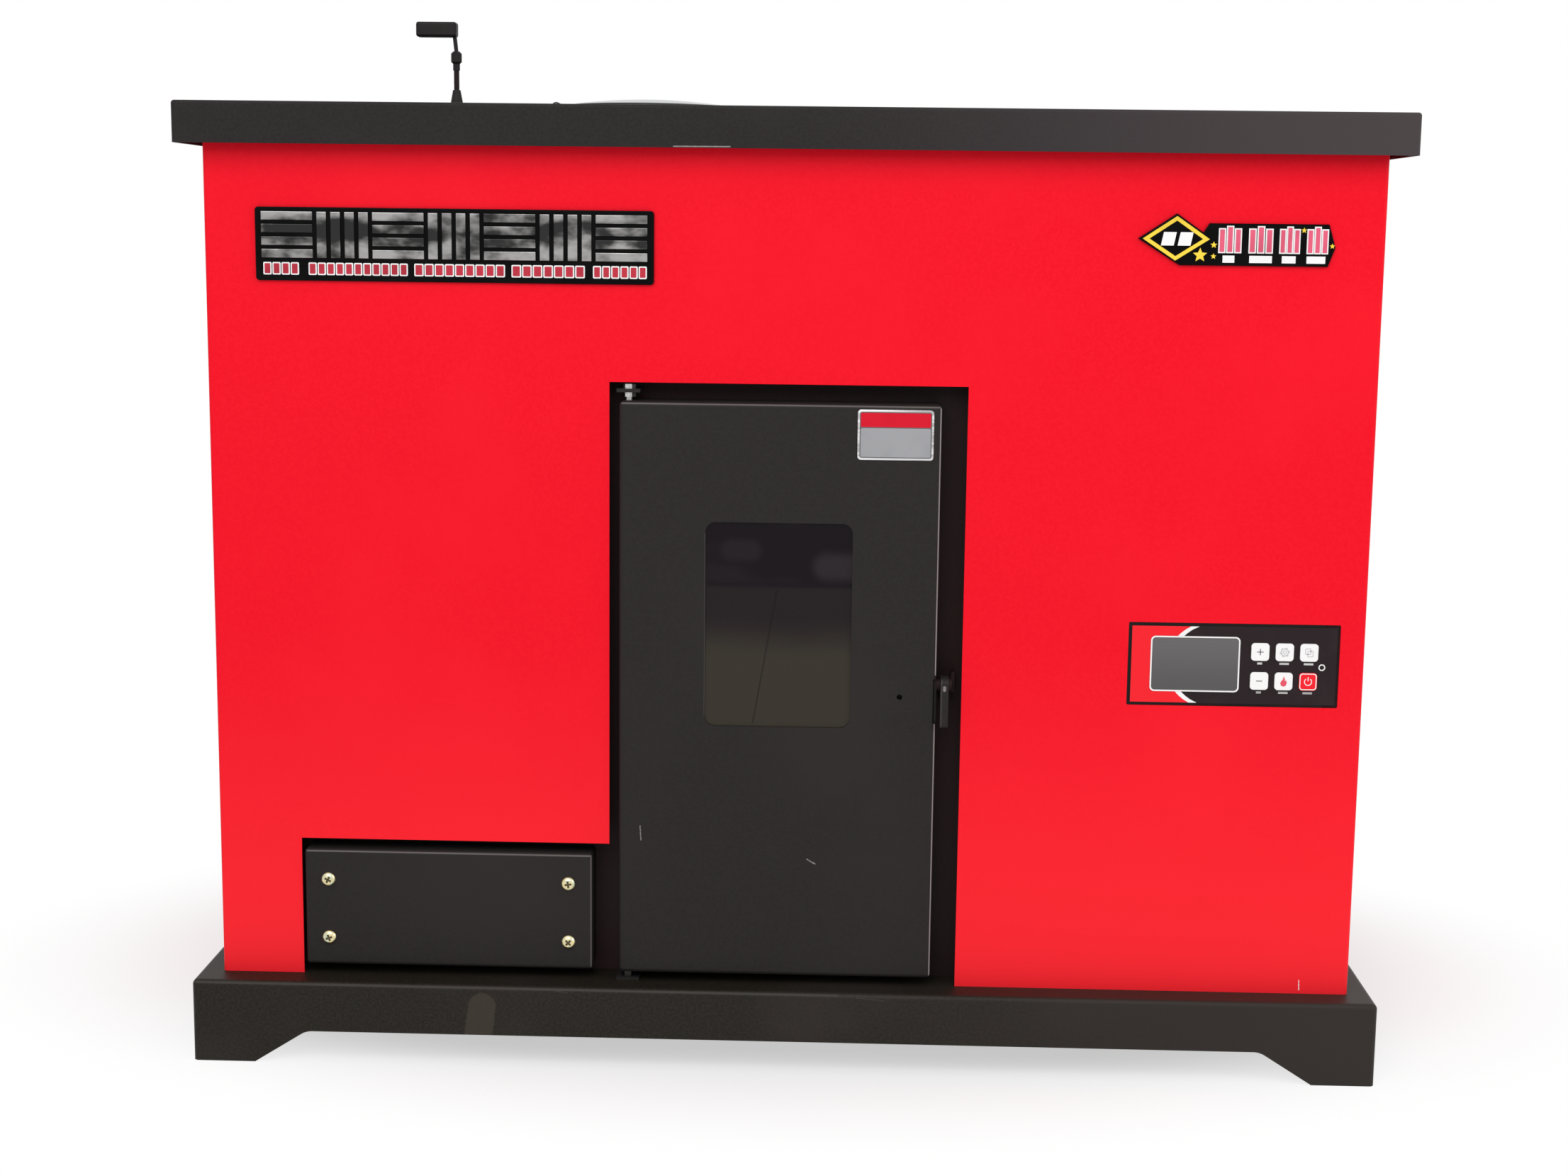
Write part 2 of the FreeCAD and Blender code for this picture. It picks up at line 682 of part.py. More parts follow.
def side_panel(side):
    outer = side * half_width
    inner = outer - side * PANEL_SHEET
    y = (y_front + PANEL_RETURN + PANEL_SEAM, y_rear - PANEL_RETURN - PANEL_SEAM)
    return block((min(outer, inner), max(outer, inner)), y, (z_deck, z_under - PANEL_SEAM))


def rear_panel():
    x = (-half_width, half_width)
    sheet = channel(x, (y_rear - PANEL_RETURN, y_rear), (z_deck, z_under - PANEL_SEAM),
                    PANEL_SHEET, PANEL_BEND, 0)
    start = y_rear - PANEL_SHEET - OVERRUN
    length = PANEL_SHEET + OVERRUN * 2
    holes = [rod(V(flue_x, start, flue_z), Y_AXIS, length, FLUE_RADIUS + FREE_GAP)]
    for height in (flow_z, return_z):
        holes.append(rod(V(pipe_x, start, height), Y_AXIS, length, PIPE_RADIUS + FREE_GAP))
    through = (start, start + length)
    holes.append(block(grown(around(inlet_x, INLET_WIDTH), FREE_GAP), through,
                       grown(around(z_deck + INLET_RISE, INLET_HEIGHT), FREE_GAP)))
    for i in range(VENT_COUNT):
        height = z_deck + VENT_RISE + i * VENT_PITCH
        holes.append(block(around(vent_x, VENT_LENGTH), through, around(height, VENT_HEIGHT)))
    return cut_all(sheet, holes)


def top_cover():
    spans = [grown((-half_width, half_width), TOP_OVERHANG), grown((y_front, y_rear), TOP_OVERHANG),
             (z_top - TOP_SKIRT, z_top)]
    sheet = tray(spans, TOP_SHEET, TOP_BEND, 2, 0)
    return cut_all(sheet, lid_and_stirrer_holes(z_under, TOP_SHEET))


def lid_and_stirrer_holes(bottom, sheet):
    """Holes for the fill collar and the stirrer through a flat sheet."""
    start = bottom - OVERRUN
    length = sheet + OVERRUN * 2
    return [rod(V(fill_x, fill_y, start), Z_AXIS, length, collar_radius + FREE_GAP),
            rod(V(stirrer_x, auger_y, start), Z_AXIS, length, STIRRER_RADIUS + FREE_GAP)]


def cabinet_frame():
    """Four corner posts and four top rails of folded angle."""
    x_out = half_width - PANEL_SHEET
    y_out = (y_front + PANEL_SHEET, y_rear - PANEL_SHEET)
    z_post = (z_deck, z_under)
    z_side = (z_rail - POST_LEG, z_rail)
    pieces = []
    for side in (-1, 1):
        for level, inward in ((y_out[0], 1), (y_out[1], -1)):
            x_leg = sorted((side * x_out, side * (x_out - POST_LEG)))
            y_sheet = sorted((level, level + inward * POST_SHEET))
            x_sheet = sorted((side * x_out, side * (x_out - POST_SHEET)))
            y_leg = sorted((level, level + inward * POST_LEG))
            post = joined(block(x_leg, y_sheet, z_post), block(x_sheet, y_leg, z_post))
            corner = [e for e in post.Edges if edge_at(e, 2, side * x_out, level)]
            pieces.append(post.makeFillet(PANEL_BEND + FREE_GAP, corner))
    flat = (z_rail - POST_SHEET, z_rail)
    x_run = grown((-x_out, x_out), -POST_LEG)
    y_run = grown(y_out, -POST_LEG)
    for level, inward in ((y_out[0], 1), (y_out[1], -1)):
        y_sheet = sorted((level, level + inward * POST_SHEET))
        y_leg = sorted((level, level + inward * POST_LEG))
        pieces.append(joined(block(x_run, y_sheet, z_side), block(x_run, y_leg, flat)))
    for side in (-1, 1):
        x_sheet = sorted((side * x_out, side * (x_out - POST_SHEET)))
        x_leg = sorted((side * x_out, side * (x_out - POST_LEG)))
        pieces.append(joined(block(x_sheet, y_run, z_side), block(x_leg, y_run, flat)))
    return Part.makeCompound(pieces)


# Boiler body

def cover_screw_places():
    """The access cover's four screw axes as (x, z)."""
    xs = (cover_left + COVER_SCREW_INSET, cover_right - COVER_SCREW_INSET)
    zs = (cover_bottom + COVER_SCREW_RISE, cover_top - COVER_SCREW_DROP)
    return [(x, z) for x in xs for z in zs]


def inner_front_plate():
    y = (plate_front, plate_back)
    main = block((shell_left, shell_right), y, (z_deck, shell_top))
    wing = block((feed_left - PLATE_WING_LAP, shell_left), y, (z_deck, feed_top + PLATE_WING_LAP))
    through = grown(y, OVERRUN)
    fire_opening = block((fire_left, fire_right), through, (fire_bottom, fire_top))
    hatch = block(grown((cover_left, cover_right), -FEED_HATCH_INSET), through,
                  grown((cover_bottom, cover_top), -COVER_SCREW_RISE))
    plate = joined(main, wing).cut(fire_opening).cut(hatch)
    standoff_front = cover_front + COVER_SHEET
    length = plate_front - standoff_front
    posts = [rod(V(x, standoff_front, z), Y_AXIS, length, STANDOFF_RADIUS) for x, z in cover_screw_places()]
    bores = [rod(V(x, standoff_front - OVERRUN, z), Y_AXIS, length + OVERRUN, SCREW_RADIUS + SEAT_FIT)
             for x, z in cover_screw_places()]
    return cut_all(joined(plate, *posts), bores)


def side_holes(margin):
    """Cutters for what passes through the boiler's side walls and roof."""
    length = shell_right - shell_left + OVERRUN * 2
    start = shell_left - OVERRUN
    feed = rod(V(start, auger_y, auger_z), X_AXIS, length / 2, AUGER_RADIUS + margin)
    duct = block((door_mid, shell_right + OVERRUN), grown(around(auger_y, DUCT_WIDTH), margin),
                 grown((duct_bottom, duct_top), margin))
    tubes = [rod(V(x, y, box_top - OVERRUN), Z_AXIS, shell_top - box_top + OVERRUN * 2,
                 SMOKE_TUBE_RADIUS + margin) for x, y in smoke_tube_places()]
    return [feed, duct] + tubes


def pipe_holes(margin):
    """Cutters for the water pipes through the jacket's right wall."""
    start = shell_right - SHELL_WALL - OVERRUN
    length = SHELL_WALL + OVERRUN * 2
    return [rod(V(start, y, z), X_AXIS, length, PIPE_RADIUS + margin)
            for y, z in ((flow_y, flow_z), (return_y, return_z))]


def boiler_outer_shell():
    y = (plate_back, shell_back)
    z = (z_deck, shell_top - SHELL_WALL)
    left = block((shell_left, shell_left + SHELL_WALL), y, z)
    right = block((shell_right - SHELL_WALL, shell_right), y, z)
    back = block(grown((shell_left, shell_right), -SHELL_WALL), (shell_back - SHELL_WALL, shell_back), z)
    roof = block((shell_left, shell_right), y, (shell_top - SHELL_WALL, shell_top))
    cutters = side_holes(SEAT_FIT) + pipe_holes(SEAT_FIT)
    return Part.makeCompound([cut_all(wall, cutters) for wall in (left, right, back, roof)])


def firebox_shell():
    y = (plate_back, box_back)
    z = (z_deck, box_top)
    left = block((box_left - FIREBOX_WALL, box_left), y, z)
    right = block((box_right, box_right + FIREBOX_WALL), y, z)
    back = block(grown((box_left, box_right), FIREBOX_WALL), (box_back, box_back + FIREBOX_WALL), z)
    roof = block(grown((box_left, box_right), FIREBOX_WALL), (plate_back, box_back + FIREBOX_WALL),
                 (box_top, box_top + FIREBOX_WALL))
    floor = block((box_left, box_right), y, (fire_bottom - FIREBOX_WALL, fire_bottom))
    cutters = side_holes(SEAT_FIT)
    return Part.makeCompound([cut_all(wall, cutters) for wall in (left, right, back, roof)] + [floor])


def smoke_tube_places():
    """Axes of the smoke tubes as (x, y), two columns under the smoke box."""
    x_mid = (smoke_left + smoke_right) / 2
    y_mid = (smoke_front + smoke_back) / 2
    places = []
    for i in range(SMOKE_TUBE_ROWS):
        y = y_mid + (i - (SMOKE_TUBE_ROWS - 1) / 2) * SMOKE_TUBE_PITCH
        places.append((x_mid - SMOKE_TUBE_PITCH / 2, y))
        places.append((x_mid + SMOKE_TUBE_PITCH / 2, y))
    return places


def smoke_tubes():
    length = shell_top - box_top
    return Part.makeCompound([
        tube(V(x, y, box_top), Z_AXIS, length, SMOKE_TUBE_RADIUS, SMOKE_TUBE_WALL)
        for x, y in smoke_tube_places()])


def smoke_box():
    spans = [(smoke_left, smoke_right), (smoke_front, smoke_back), (shell_top, smoke_top)]
    box = tray(spans, SMOKE_BOX_SHEET, SMOKE_BOX_BEND, 2, 0)
    inlet = rod(V(smoke_right - SMOKE_BOX_SHEET - OVERRUN, exhaust_y, exhaust_z), X_AXIS,
                SMOKE_BOX_SHEET + OVERRUN * 2, EXHAUST_INLET)
    return box.cut(inlet)


def water_pipe(y, z):
    """Pipe from the jacket's right wall, round a bend and out through the rear."""
    start = V(shell_right - SHELL_WALL, y, z)
    bend_in = V(pipe_x - PIPE_BEND, y, z)
    bend_out = V(pipe_x, y + PIPE_BEND, z)
    slant = PIPE_BEND * math.sin(math.radians(45))
    bend_mid = V(pipe_x - PIPE_BEND + slant, y + PIPE_BEND - slant, z)
    end = V(pipe_x, pipe_end, z)
    path = Part.Wire([
        Part.LineSegment(start, bend_in).toShape(),
        Part.Arc(bend_in, bend_mid, bend_out).toShape(),
        Part.LineSegment(bend_out, end).toShape()])
    radii = (PIPE_RADIUS, PIPE_RADIUS - PIPE_WALL)
    rings = [Part.Wire(Part.makeCircle(radius, start, X_AXIS)) for radius in radii]
    outside, inside = (path.makePipeShell([ring], True, False) for ring in rings)
    nut = rod(V(pipe_x, y_rear + FREE_GAP, z), Y_AXIS, PIPE_NUT_WIDTH, PIPE_RADIUS + PIPE_NUT)
    return joined(outside, nut).cut(inside)


# Door

def hinge_blocks():
    """Blocks in the door's left corners that the hinge pins turn in."""
    x = (door_left + DOOR_SHEET, hinge_x + HINGE_BLOCK)
    y = (door_front + DOOR_SHEET, liner_front - HINGE_BLOCK_GAP)
    low = (door_bottom + DOOR_SHEET, door_bottom + HINGE_BLOCK_HEIGHT)
    high = (door_top - HINGE_BLOCK_HEIGHT, door_top - DOOR_SHEET)
    return [block(x, y, low), block(x, y, high)]


def door_skin():
    spans = [(door_left, door_right), (door_front, door_back), (door_bottom, door_top)]
    pan = tray(spans, DOOR_SHEET, DOOR_BEND, 1, 1)
    skin = joined(pan, *hinge_blocks())
    through = grown((door_front, door_front + DOOR_SHEET), OVERRUN)
    window = rounded_block(around(door_mid, window_width), through, around(window_mid, window_height),
                           WINDOW_ROUND, 1)
    peep = rod(V(door_right - PEEP_INSET, through[0], door_level), Y_AXIS,
               through[1] - through[0], PEEP_RADIUS)
    notch_low = latch_z - NOTCH_DROP
    notch = block((door_right - NOTCH_WIDTH, door_right + OVERRUN),
                  (door_front - OVERRUN, door_front + NOTCH_DEPTH), (notch_low, notch_low + NOTCH_HEIGHT))
    bolt = rod(V(door_right - DOOR_SHEET - OVERRUN, latch_y, latch_z), X_AXIS,
               DOOR_SHEET + OVERRUN * 2, LATCH_BOLT_RADIUS + SEAT_FIT)
    depth = HINGE_PIN_GRIP + OVERRUN * 2
    pin = HINGE_PIN_RADIUS + RUNNING_FIT
    low = rod(V(hinge_x, hinge_y, door_bottom - OVERRUN), Z_AXIS, depth, pin)
    high = rod(V(hinge_x, hinge_y, door_top - depth + OVERRUN), Z_AXIS, depth, pin)
    return cut_all(skin, [window, peep, notch, bolt, low, high])


def door_glass():
    y = (door_front + DOOR_SHEET, door_front + DOOR_SHEET + GLASS_SHEET)
    return rounded_block(around(door_mid, window_width + GLASS_LAP * 2), y,
                         around(window_mid, window_height + GLASS_LAP * 2), WINDOW_ROUND, 1)


def glass_retainer():
    """Frame that holds the glass against the back of the door skin."""
    pocket_x = grown(around(door_mid, window_width + GLASS_LAP * 2), SEAT_FIT)
    pocket_z = grown(around(window_mid, window_height + GLASS_LAP * 2), SEAT_FIT)
    start = door_front + DOOR_SHEET
    frame = block(grown(pocket_x, RETAINER_RIM), (start, start + RETAINER_DEPTH),
                  grown(pocket_z, RETAINER_RIM))
    pocket = block(pocket_x, (start - OVERRUN, start + GLASS_SHEET), pocket_z)
    opening = block(grown(around(door_mid, window_width), RETAINER_LIP),
                    (start, start + RETAINER_DEPTH + OVERRUN),
                    grown(around(window_mid, window_height), RETAINER_LIP))
    return frame.cut(pocket).cut(opening)


def door_liner():
    """Stepped sheet that closes the door's back, with a flange for the gasket."""
    x = grown((door_left, door_right), -DOOR_SHEET - SEAT_FIT)
    z = grown((door_bottom, door_top), -DOOR_SHEET - SEAT_FIT)
    flange = rounded_block(x, (liner_front, liner_front + LINER_SHEET), z, DOOR_BEND + FREE_GAP, 1)
    step_x = grown((door_left, door_right), -LINER_INSET)
    step_z = grown((door_bottom, door_top), -LINER_INSET)
    step = block(step_x, (liner_front, liner_front + LINER_STEP), step_z)
    hollow_y = (liner_front - OVERRUN, liner_front + LINER_STEP - LINER_SHEET)
    hollow = block(grown(step_x, -LINER_SHEET), hollow_y, grown(step_z, -LINER_SHEET))
    window = block(grown(around(door_mid, window_width), LINER_WINDOW_LAP),
                   grown((liner_front, liner_front + LINER_STEP), OVERRUN),
                   grown(around(window_mid, window_height), LINER_WINDOW_LAP))
    return joined(flange, step).cut(hollow).cut(window)


def door_gasket():
    """Rope ring in the liner's step that meets the inner front plate."""
    y = (liner_front + LINER_SHEET, plate_front - FREE_GAP)
    x = grown((door_left, door_right), -GASKET_INSET)
    z = grown((door_bottom, door_top), -GASKET_INSET)
    outside = rounded_block(x, y, z, GASKET_WIDTH + GASKET_ROUND, 1)
    inside = rounded_block(grown(x, -GASKET_WIDTH), grown(y, OVERRUN), grown(z, -GASKET_WIDTH),
                           GASKET_ROUND, 1)
    ring = outside.cut(inside)
    return ring.makeFillet(GASKET_ROUND, [e for e in ring.Edges if at_level(e, 1, y[1])])


def door_label_plate():
    x = (door_right - LABEL_INSET - LABEL_WIDTH, door_right - LABEL_INSET)
    z = (door_top - LABEL_DROP - LABEL_HEIGHT, door_top - LABEL_DROP)
    return rounded_block(x, (door_front - LABEL_SHEET, door_front), z, LABEL_ROUND, 1)


def hinge_brackets():
    """Upper angle bracket on the plate and lower leaf on the deck."""
    x = around(hinge_x, HINGE_LEAF_WIDTH)
    y = (hinge_y - HINGE_LEAF_NOSE, plate_front)
    z = door_top + HINGE_GAP
    leaf = block(x, y, (z, z + HINGE_LEAF))
    back = block(x, (plate_front - HINGE_LEAF, plate_front), (z, z + HINGE_LEAF_RISE))
    lower = block(x, y, (z_deck, z_deck + HINGE_LEAF))
    pin = HINGE_PIN_RADIUS + SEAT_FIT
    high_hole = rod(V(hinge_x, hinge_y, z - OVERRUN), Z_AXIS, HINGE_LEAF + OVERRUN * 2, pin)
    low_hole = rod(V(hinge_x, hinge_y, z_deck - OVERRUN), Z_AXIS, HINGE_LEAF + OVERRUN * 2, pin)
    return Part.makeCompound([joined(leaf, back).cut(high_hole), lower.cut(low_hole)])


def hinge_pins():
    """Upper pin with a head and a lock nut, lower pin with a bearing collar."""
    bracket = door_top + HINGE_GAP
    upper_end = door_top - HINGE_PIN_GRIP
    upper_length = bracket + HINGE_LEAF - upper_end
    upper = rod(V(hinge_x, hinge_y, upper_end), Z_AXIS, upper_length, HINGE_PIN_RADIUS)
    head = hexagon(V(hinge_x, hinge_y, bracket + HINGE_LEAF), HINGE_NUT_FLATS, HINGE_NUT_HEIGHT)
    nut = hexagon(V(hinge_x, hinge_y, bracket - HINGE_NUT_HEIGHT), HINGE_NUT_FLATS, HINGE_NUT_HEIGHT)
    lower_length = door_bottom + HINGE_PIN_GRIP - z_deck
    lower = rod(V(hinge_x, hinge_y, z_deck), Z_AXIS, lower_length, HINGE_PIN_RADIUS)
    collar_start = z_deck + HINGE_LEAF
    collar_height = door_bottom - FREE_GAP - collar_start
    collar = hexagon(V(hinge_x, hinge_y, collar_start), HINGE_NUT_FLATS, collar_height)
    return Part.makeCompound([joined(upper, head, nut), joined(lower, collar)])


def latch_lever():
    """Flat lever: a hanging finger tab in front, a hook behind, a boss between."""
    x_start = V(latch_left, latch_y, latch_z)
    boss = rod(x_start, X_AXIS, LATCH_THICK, LATCH_BOSS)
    x = (latch_left, latch_right)
    nose = block(x, (latch_y - LATCH_NOSE, latch_y), (latch_z, latch_z + LATCH_BOSS))
    tab = block(x, (latch_y - LATCH_NOSE, latch_y - LATCH_NOSE + LATCH_TAB),
                (latch_z - LATCH_DROP, latch_z + LATCH_BOSS))
    tab = tab.makeFillet(LATCH_TAB_ROUND, [
        e for e in tab.Edges if runs_along(e, 0) and at_level(e, 2, latch_z - LATCH_DROP)])
    arm_top = latch_z - KEEPER_STUD - HOOK_CLEAR
    beak_start = stud_y + KEEPER_STUD + HOOK_CLEAR
    beak_end = beak_start + HOOK_BEAK
    arm = block(x, (latch_y, beak_end), (arm_top - HOOK_ARM, arm_top))
    beak = block(x, (beak_start, beak_end), (arm_top - HOOK_ARM, latch_z + HOOK_BEAK_RISE))
    hook = joined(arm, beak)
    hook.rotate(x_start, X_AXIS, -LATCH_RELEASE)
    lever = joined(boss, nose, tab, hook)
    corner = [e for e in lever.Edges if edge_at(e, 0, latch_y - LATCH_NOSE, latch_z + LATCH_BOSS)]
    lever = lever.makeFillet(LATCH_TAB, corner)
    bore = rod(x_start - X_AXIS * OVERRUN, X_AXIS, LATCH_THICK + OVERRUN * 2, LATCH_BOLT_RADIUS + RUNNING_FIT)
    return lever.cut(bore)


def latch_pivot_bolt():
    """Shoulder bolt through the door's right fold."""
    inside = door_right - DOOR_SHEET
    nut_start = inside - LATCH_BOLT_HEAD_HEIGHT
    head_start = latch_right + FREE_GAP
    shank = rod(V(nut_start, latch_y, latch_z), X_AXIS, head_start - nut_start, LATCH_BOLT_RADIUS)
    nut = rod(V(nut_start, latch_y, latch_z), X_AXIS, LATCH_BOLT_HEAD_HEIGHT, LATCH_BOLT_HEAD)
    collar = rod(V(door_right, latch_y, latch_z), X_AXIS, LATCH_GAP - FREE_GAP, LATCH_BOLT_HEAD)
    head = rod(V(head_start, latch_y, latch_z), X_AXIS, LATCH_BOLT_HEAD_HEIGHT, LATCH_BOLT_HEAD)
    return joined(shank, nut, collar, head)


def latch_keeper():
    """Cheek on the inner front plate with the stud that the hook takes hold of."""
    cheek_x = (latch_right + KEEPER_GAP, latch_right + KEEPER_GAP + KEEPER_SHEET)
    cheek = block(cheek_x, (stud_y - KEEPER_NOSE, plate_front), around(latch_z, KEEPER_HALF * 2))
    stud = rod(V(latch_left, stud_y, latch_z), X_AXIS, cheek_x[1] - latch_left, KEEPER_STUD)
    return joined(cheek, stud)


# Access cover

def access_cover():
    spans = [(cover_left, cover_right), (cover_front, plate_front), (cover_bottom, cover_top)]
    pan = tray(spans, COVER_SHEET, COVER_BEND, 1, 1)
    holes = [rod(V(x, cover_front - OVERRUN, z), Y_AXIS, COVER_SHEET + OVERRUN * 2, SCREW_RADIUS + FREE_GAP)
             for x, z in cover_screw_places()]
    return cut_all(pan, holes)


def access_cover_screws():
    screws = []
    for x, z in cover_screw_places():
        head = rod(V(x, cover_front, z), -Y_AXIS, SCREW_HEAD_HEIGHT, SCREW_HEAD_RADIUS)
        rim = [e for e in head.Edges if at_level(e, 1, cover_front - SCREW_HEAD_HEIGHT)]
        head = head.makeFillet(SCREW_HEAD_ROUND, rim)
        screws.append(joined(head, rod(V(x, cover_front, z), Y_AXIS, SCREW_LENGTH, SCREW_RADIUS)))
    return Part.makeCompound(screws)


# Fuel feed

def hopper_levels():
    """Outside of the hopper as x span, y span and height, from its outlet to its rim."""
    outlet = (around(stirrer_x, AUGER_NECK_LENGTH), around(auger_y, AUGER_NECK_WIDTH))
    bin_y = (y_front + HOPPER_FRONT_GAP, y_rear - HOPPER_BACK_GAP)
    spout_top = neck_top + HOPPER_SPOUT
    return [
        (*outlet, neck_top),
        (*outlet, spout_top),
        ((bin_left, bin_right), bin_y, spout_top + HOPPER_FUNNEL),
        ((bin_left, bin_right), bin_y, shell_top - HOPPER_SHOULDER),
        ((bin_left, rim_right), bin_y, z_rail - HOPPER_COLLAR_DROP),
        ((bin_left, rim_right), bin_y, z_rail)]


def wall_strips(x, y, z):
    """Corners of four mitred strips of sheet round a rectangle at one height."""
    outer = level_corners(x, y, z)
    inner = level_corners(grown(x, -HOPPER_SHEET), grown(y, -HOPPER_SHEET), z)
    strips = []
    for i in range(len(outer)):
        strips.append([outer[i - 1], outer[i], inner[i], inner[i - 1]])
    return strips


def hopper_roof():
    """Four plates round a square hole for the fill collar."""
    x_out = half_width - PANEL_SHEET - POST_LEG - PANEL_SEAM
    x = (-x_out, fill_x + collar_radius + HOPPER_LAP)
    y = grown((y_front, y_rear), -PANEL_SHEET - POST_SHEET - PANEL_SEAM)
    z = (z_rail, z_under)
    hole_x = around(fill_x, (collar_radius + FREE_GAP) * 2)
    hole_y = around(fill_y, (collar_radius + FREE_GAP) * 2)
    left = cut_all(block((x[0], hole_x[0]), y, z), lid_and_stirrer_holes(z_rail, HOPPER_SHEET))
    right = block((hole_x[1], x[1]), y, z)
    return [left, right, block(hole_x, (y[0], hole_y[0]), z), block(hole_x, (hole_y[1], y[1]), z)]


def hopper():
    """Bin of flat plates with a funnel under it and a shoulder over the water jacket."""
    levels = [wall_strips(*level) for level in hopper_levels()]
    plates = []
    for low, high in zip(levels, levels[1:]):
        plates += [flat_sided(*pair) for pair in zip(low, high)]
    return Part.makeCompound(plates + hopper_roof())


def fill_collar():
    bottom = z_rail - HOPPER_SHEET
    top = z_top + COLLAR_RISE
    centre = V(fill_x, fill_y, bottom)
    neck = rod(centre, Z_AXIS, top - bottom, collar_radius)
    flange = rod(V(fill_x, fill_y, z_top), Z_AXIS, COLLAR_WALL, collar_radius + COLLAR_FLANGE)
    bore = rod(centre - Z_AXIS * OVERRUN, Z_AXIS, top - bottom + OVERRUN * 2, FILL_RADIUS)
    return joined(neck, flange).cut(bore)


def crown_ball(depth):
    """Ball whose cap is the lid's crown, or a surface some way under it."""
    rise = LID_CROWN - LID_RIM
    radius = (lid_radius ** 2 + rise ** 2) / (rise * 2)
    return Part.makeSphere(radius - depth, lid_point(0, LID_CROWN - radius), X_AXIS)


def lid_point(radius, rise):
    """Point of the lid's section in the plane through its axis."""
    return V(fill_x + radius, fill_y, z_top + rise)


def fill_lid():
    """Domed cap with a skirt, a seal ring, a hinge knuckle and a finger lip."""
    inner = lid_radius - LID_SHEET
    skirt = COLLAR_WALL - LID_SHEET + FREE_GAP
    seal = (FILL_RADIUS - LID_SEAL / 2, collar_radius + LID_SEAL / 2)
    seat = COLLAR_RISE + FREE_GAP
    cap = rod(lid_point(0, skirt), Z_AXIS, LID_CROWN, lid_radius).common(crown_ball(0))
    hollow = rod(lid_point(0, skirt - OVERRUN), Z_AXIS, LID_CROWN + OVERRUN, inner)
    hollow = hollow.common(crown_ball(LID_SHEET))
    dome = cap.cut(hollow)
    ring = tube(lid_point(0, seat), Z_AXIS, LID_CROWN - seat, seal[1], seal[1] - seal[0])
    ring = ring.common(crown_ball(LID_SHEET / 2))
    core = rod(lid_point(0, -OVERRUN), Z_AXIS, LID_CROWN + OVERRUN * 2, lid_radius - LID_SHEET / 2)
    lip = block((fill_x, fill_x + lid_radius + LID_LIP), around(fill_y, LID_LIP_WIDTH),
                (z_top + skirt, z_top + skirt + LID_LIP_SHEET)).cut(core)
    knuckle_y = around(fill_y, LID_KNUCKLE_LENGTH)
    knuckle = rod(V(lid_hinge_x, knuckle_y[0], lid_hinge_z), Y_AXIS, LID_KNUCKLE_LENGTH, LID_KNUCKLE)
    arm = block((lid_hinge_x, fill_x), knuckle_y, (lid_hinge_z - LID_ARM, lid_hinge_z)).cut(core)
    bore = rod(V(lid_hinge_x, knuckle_y[0] - OVERRUN, lid_hinge_z), Y_AXIS, LID_KNUCKLE_LENGTH + OVERRUN * 2,
               LID_PIN_RADIUS + RUNNING_FIT)
    return joined(dome, ring, lip, knuckle, arm).cut(bore)


def lid_ear_places():
    """Spans in y of the two hinge ears, either side of the lid's knuckle."""
    start = LID_KNUCKLE_LENGTH / 2 + FREE_GAP
    stop = start + LID_EAR_SHEET
    return [(fill_y - stop, fill_y - start), (fill_y + start, fill_y + stop)]


def fill_lid_hinge():
    spans = lid_ear_places()
    base_y = grown((spans[0][0], spans[1][1]), LID_BASE_MARGIN)
    base = block((lid_hinge_x - LID_BASE, lid_hinge_x + LID_EAR), base_y, (z_top, z_top + LID_BASE_SHEET))
    ears = []
    for low, high in spans:
        ears.append(block(around(lid_hinge_x, LID_EAR * 2), (low, high), (z_top, lid_hinge_z)))
        ears.append(rod(V(lid_hinge_x, low, lid_hinge_z), Y_AXIS, LID_EAR_SHEET, LID_EAR))
    hole = rod(V(lid_hinge_x, base_y[0], lid_hinge_z), Y_AXIS, base_y[1] - base_y[0],
               LID_PIN_RADIUS + RUNNING_FIT)
    return joined(base, *ears).cut(hole)


def fill_lid_pin():
    spans = lid_ear_places()
    start = V(lid_hinge_x, spans[0][0], lid_hinge_z)
    length = spans[1][1] - spans[0][0]
    pin = rod(start, Y_AXIS, length, LID_PIN_RADIUS)
    front_head = rod(start, -Y_AXIS, LID_PIN_HEAD_LENGTH, LID_PIN_HEAD)
    back_head = rod(start + Y_AXIS * length, Y_AXIS, LID_PIN_HEAD_LENGTH, LID_PIN_HEAD)
    return joined(pin, front_head, back_head)


def stirrer_shaft():
    """Upright shaft with crossed paddle rods that grow longer upwards."""
    bottom = neck_top + STIRRER_BOTTOM
    top = z_top + SLEEVE_RISE + SLEEVE_LENGTH
    low_reach = AUGER_NECK_LENGTH / 2 * PADDLE_LOW_SHARE
    top_reach = (bin_right - stirrer_x) * PADDLE_TOP_SHARE
    shaft = rod(V(stirrer_x, auger_y, bottom), Z_AXIS, top - bottom, STIRRER_RADIUS)
    paddles = []
    for i in range(PADDLE_COUNT):
        reach = low_reach + (top_reach - low_reach) * i / (PADDLE_COUNT - 1)
        axis = (X_AXIS, Y_AXIS)[i % 2]
        middle = V(stirrer_x, auger_y, bottom + PADDLE_RADIUS * 2 + i * PADDLE_RISE)
        paddles.append(rod(middle - axis * reach, axis, reach * 2, PADDLE_RADIUS))
    return joined(shaft, *paddles)


def stirrer_gland():
    cone = Part.makeCone(GLAND_BASE, GLAND_NECK, GLAND_HEIGHT, V(stirrer_x, auger_y, z_top))
    bore = rod(V(stirrer_x, auger_y, z_top - OVERRUN), Z_AXIS, GLAND_HEIGHT + OVERRUN * 2,
               STIRRER_RADIUS + RUNNING_FIT)
    return cone.cut(bore)


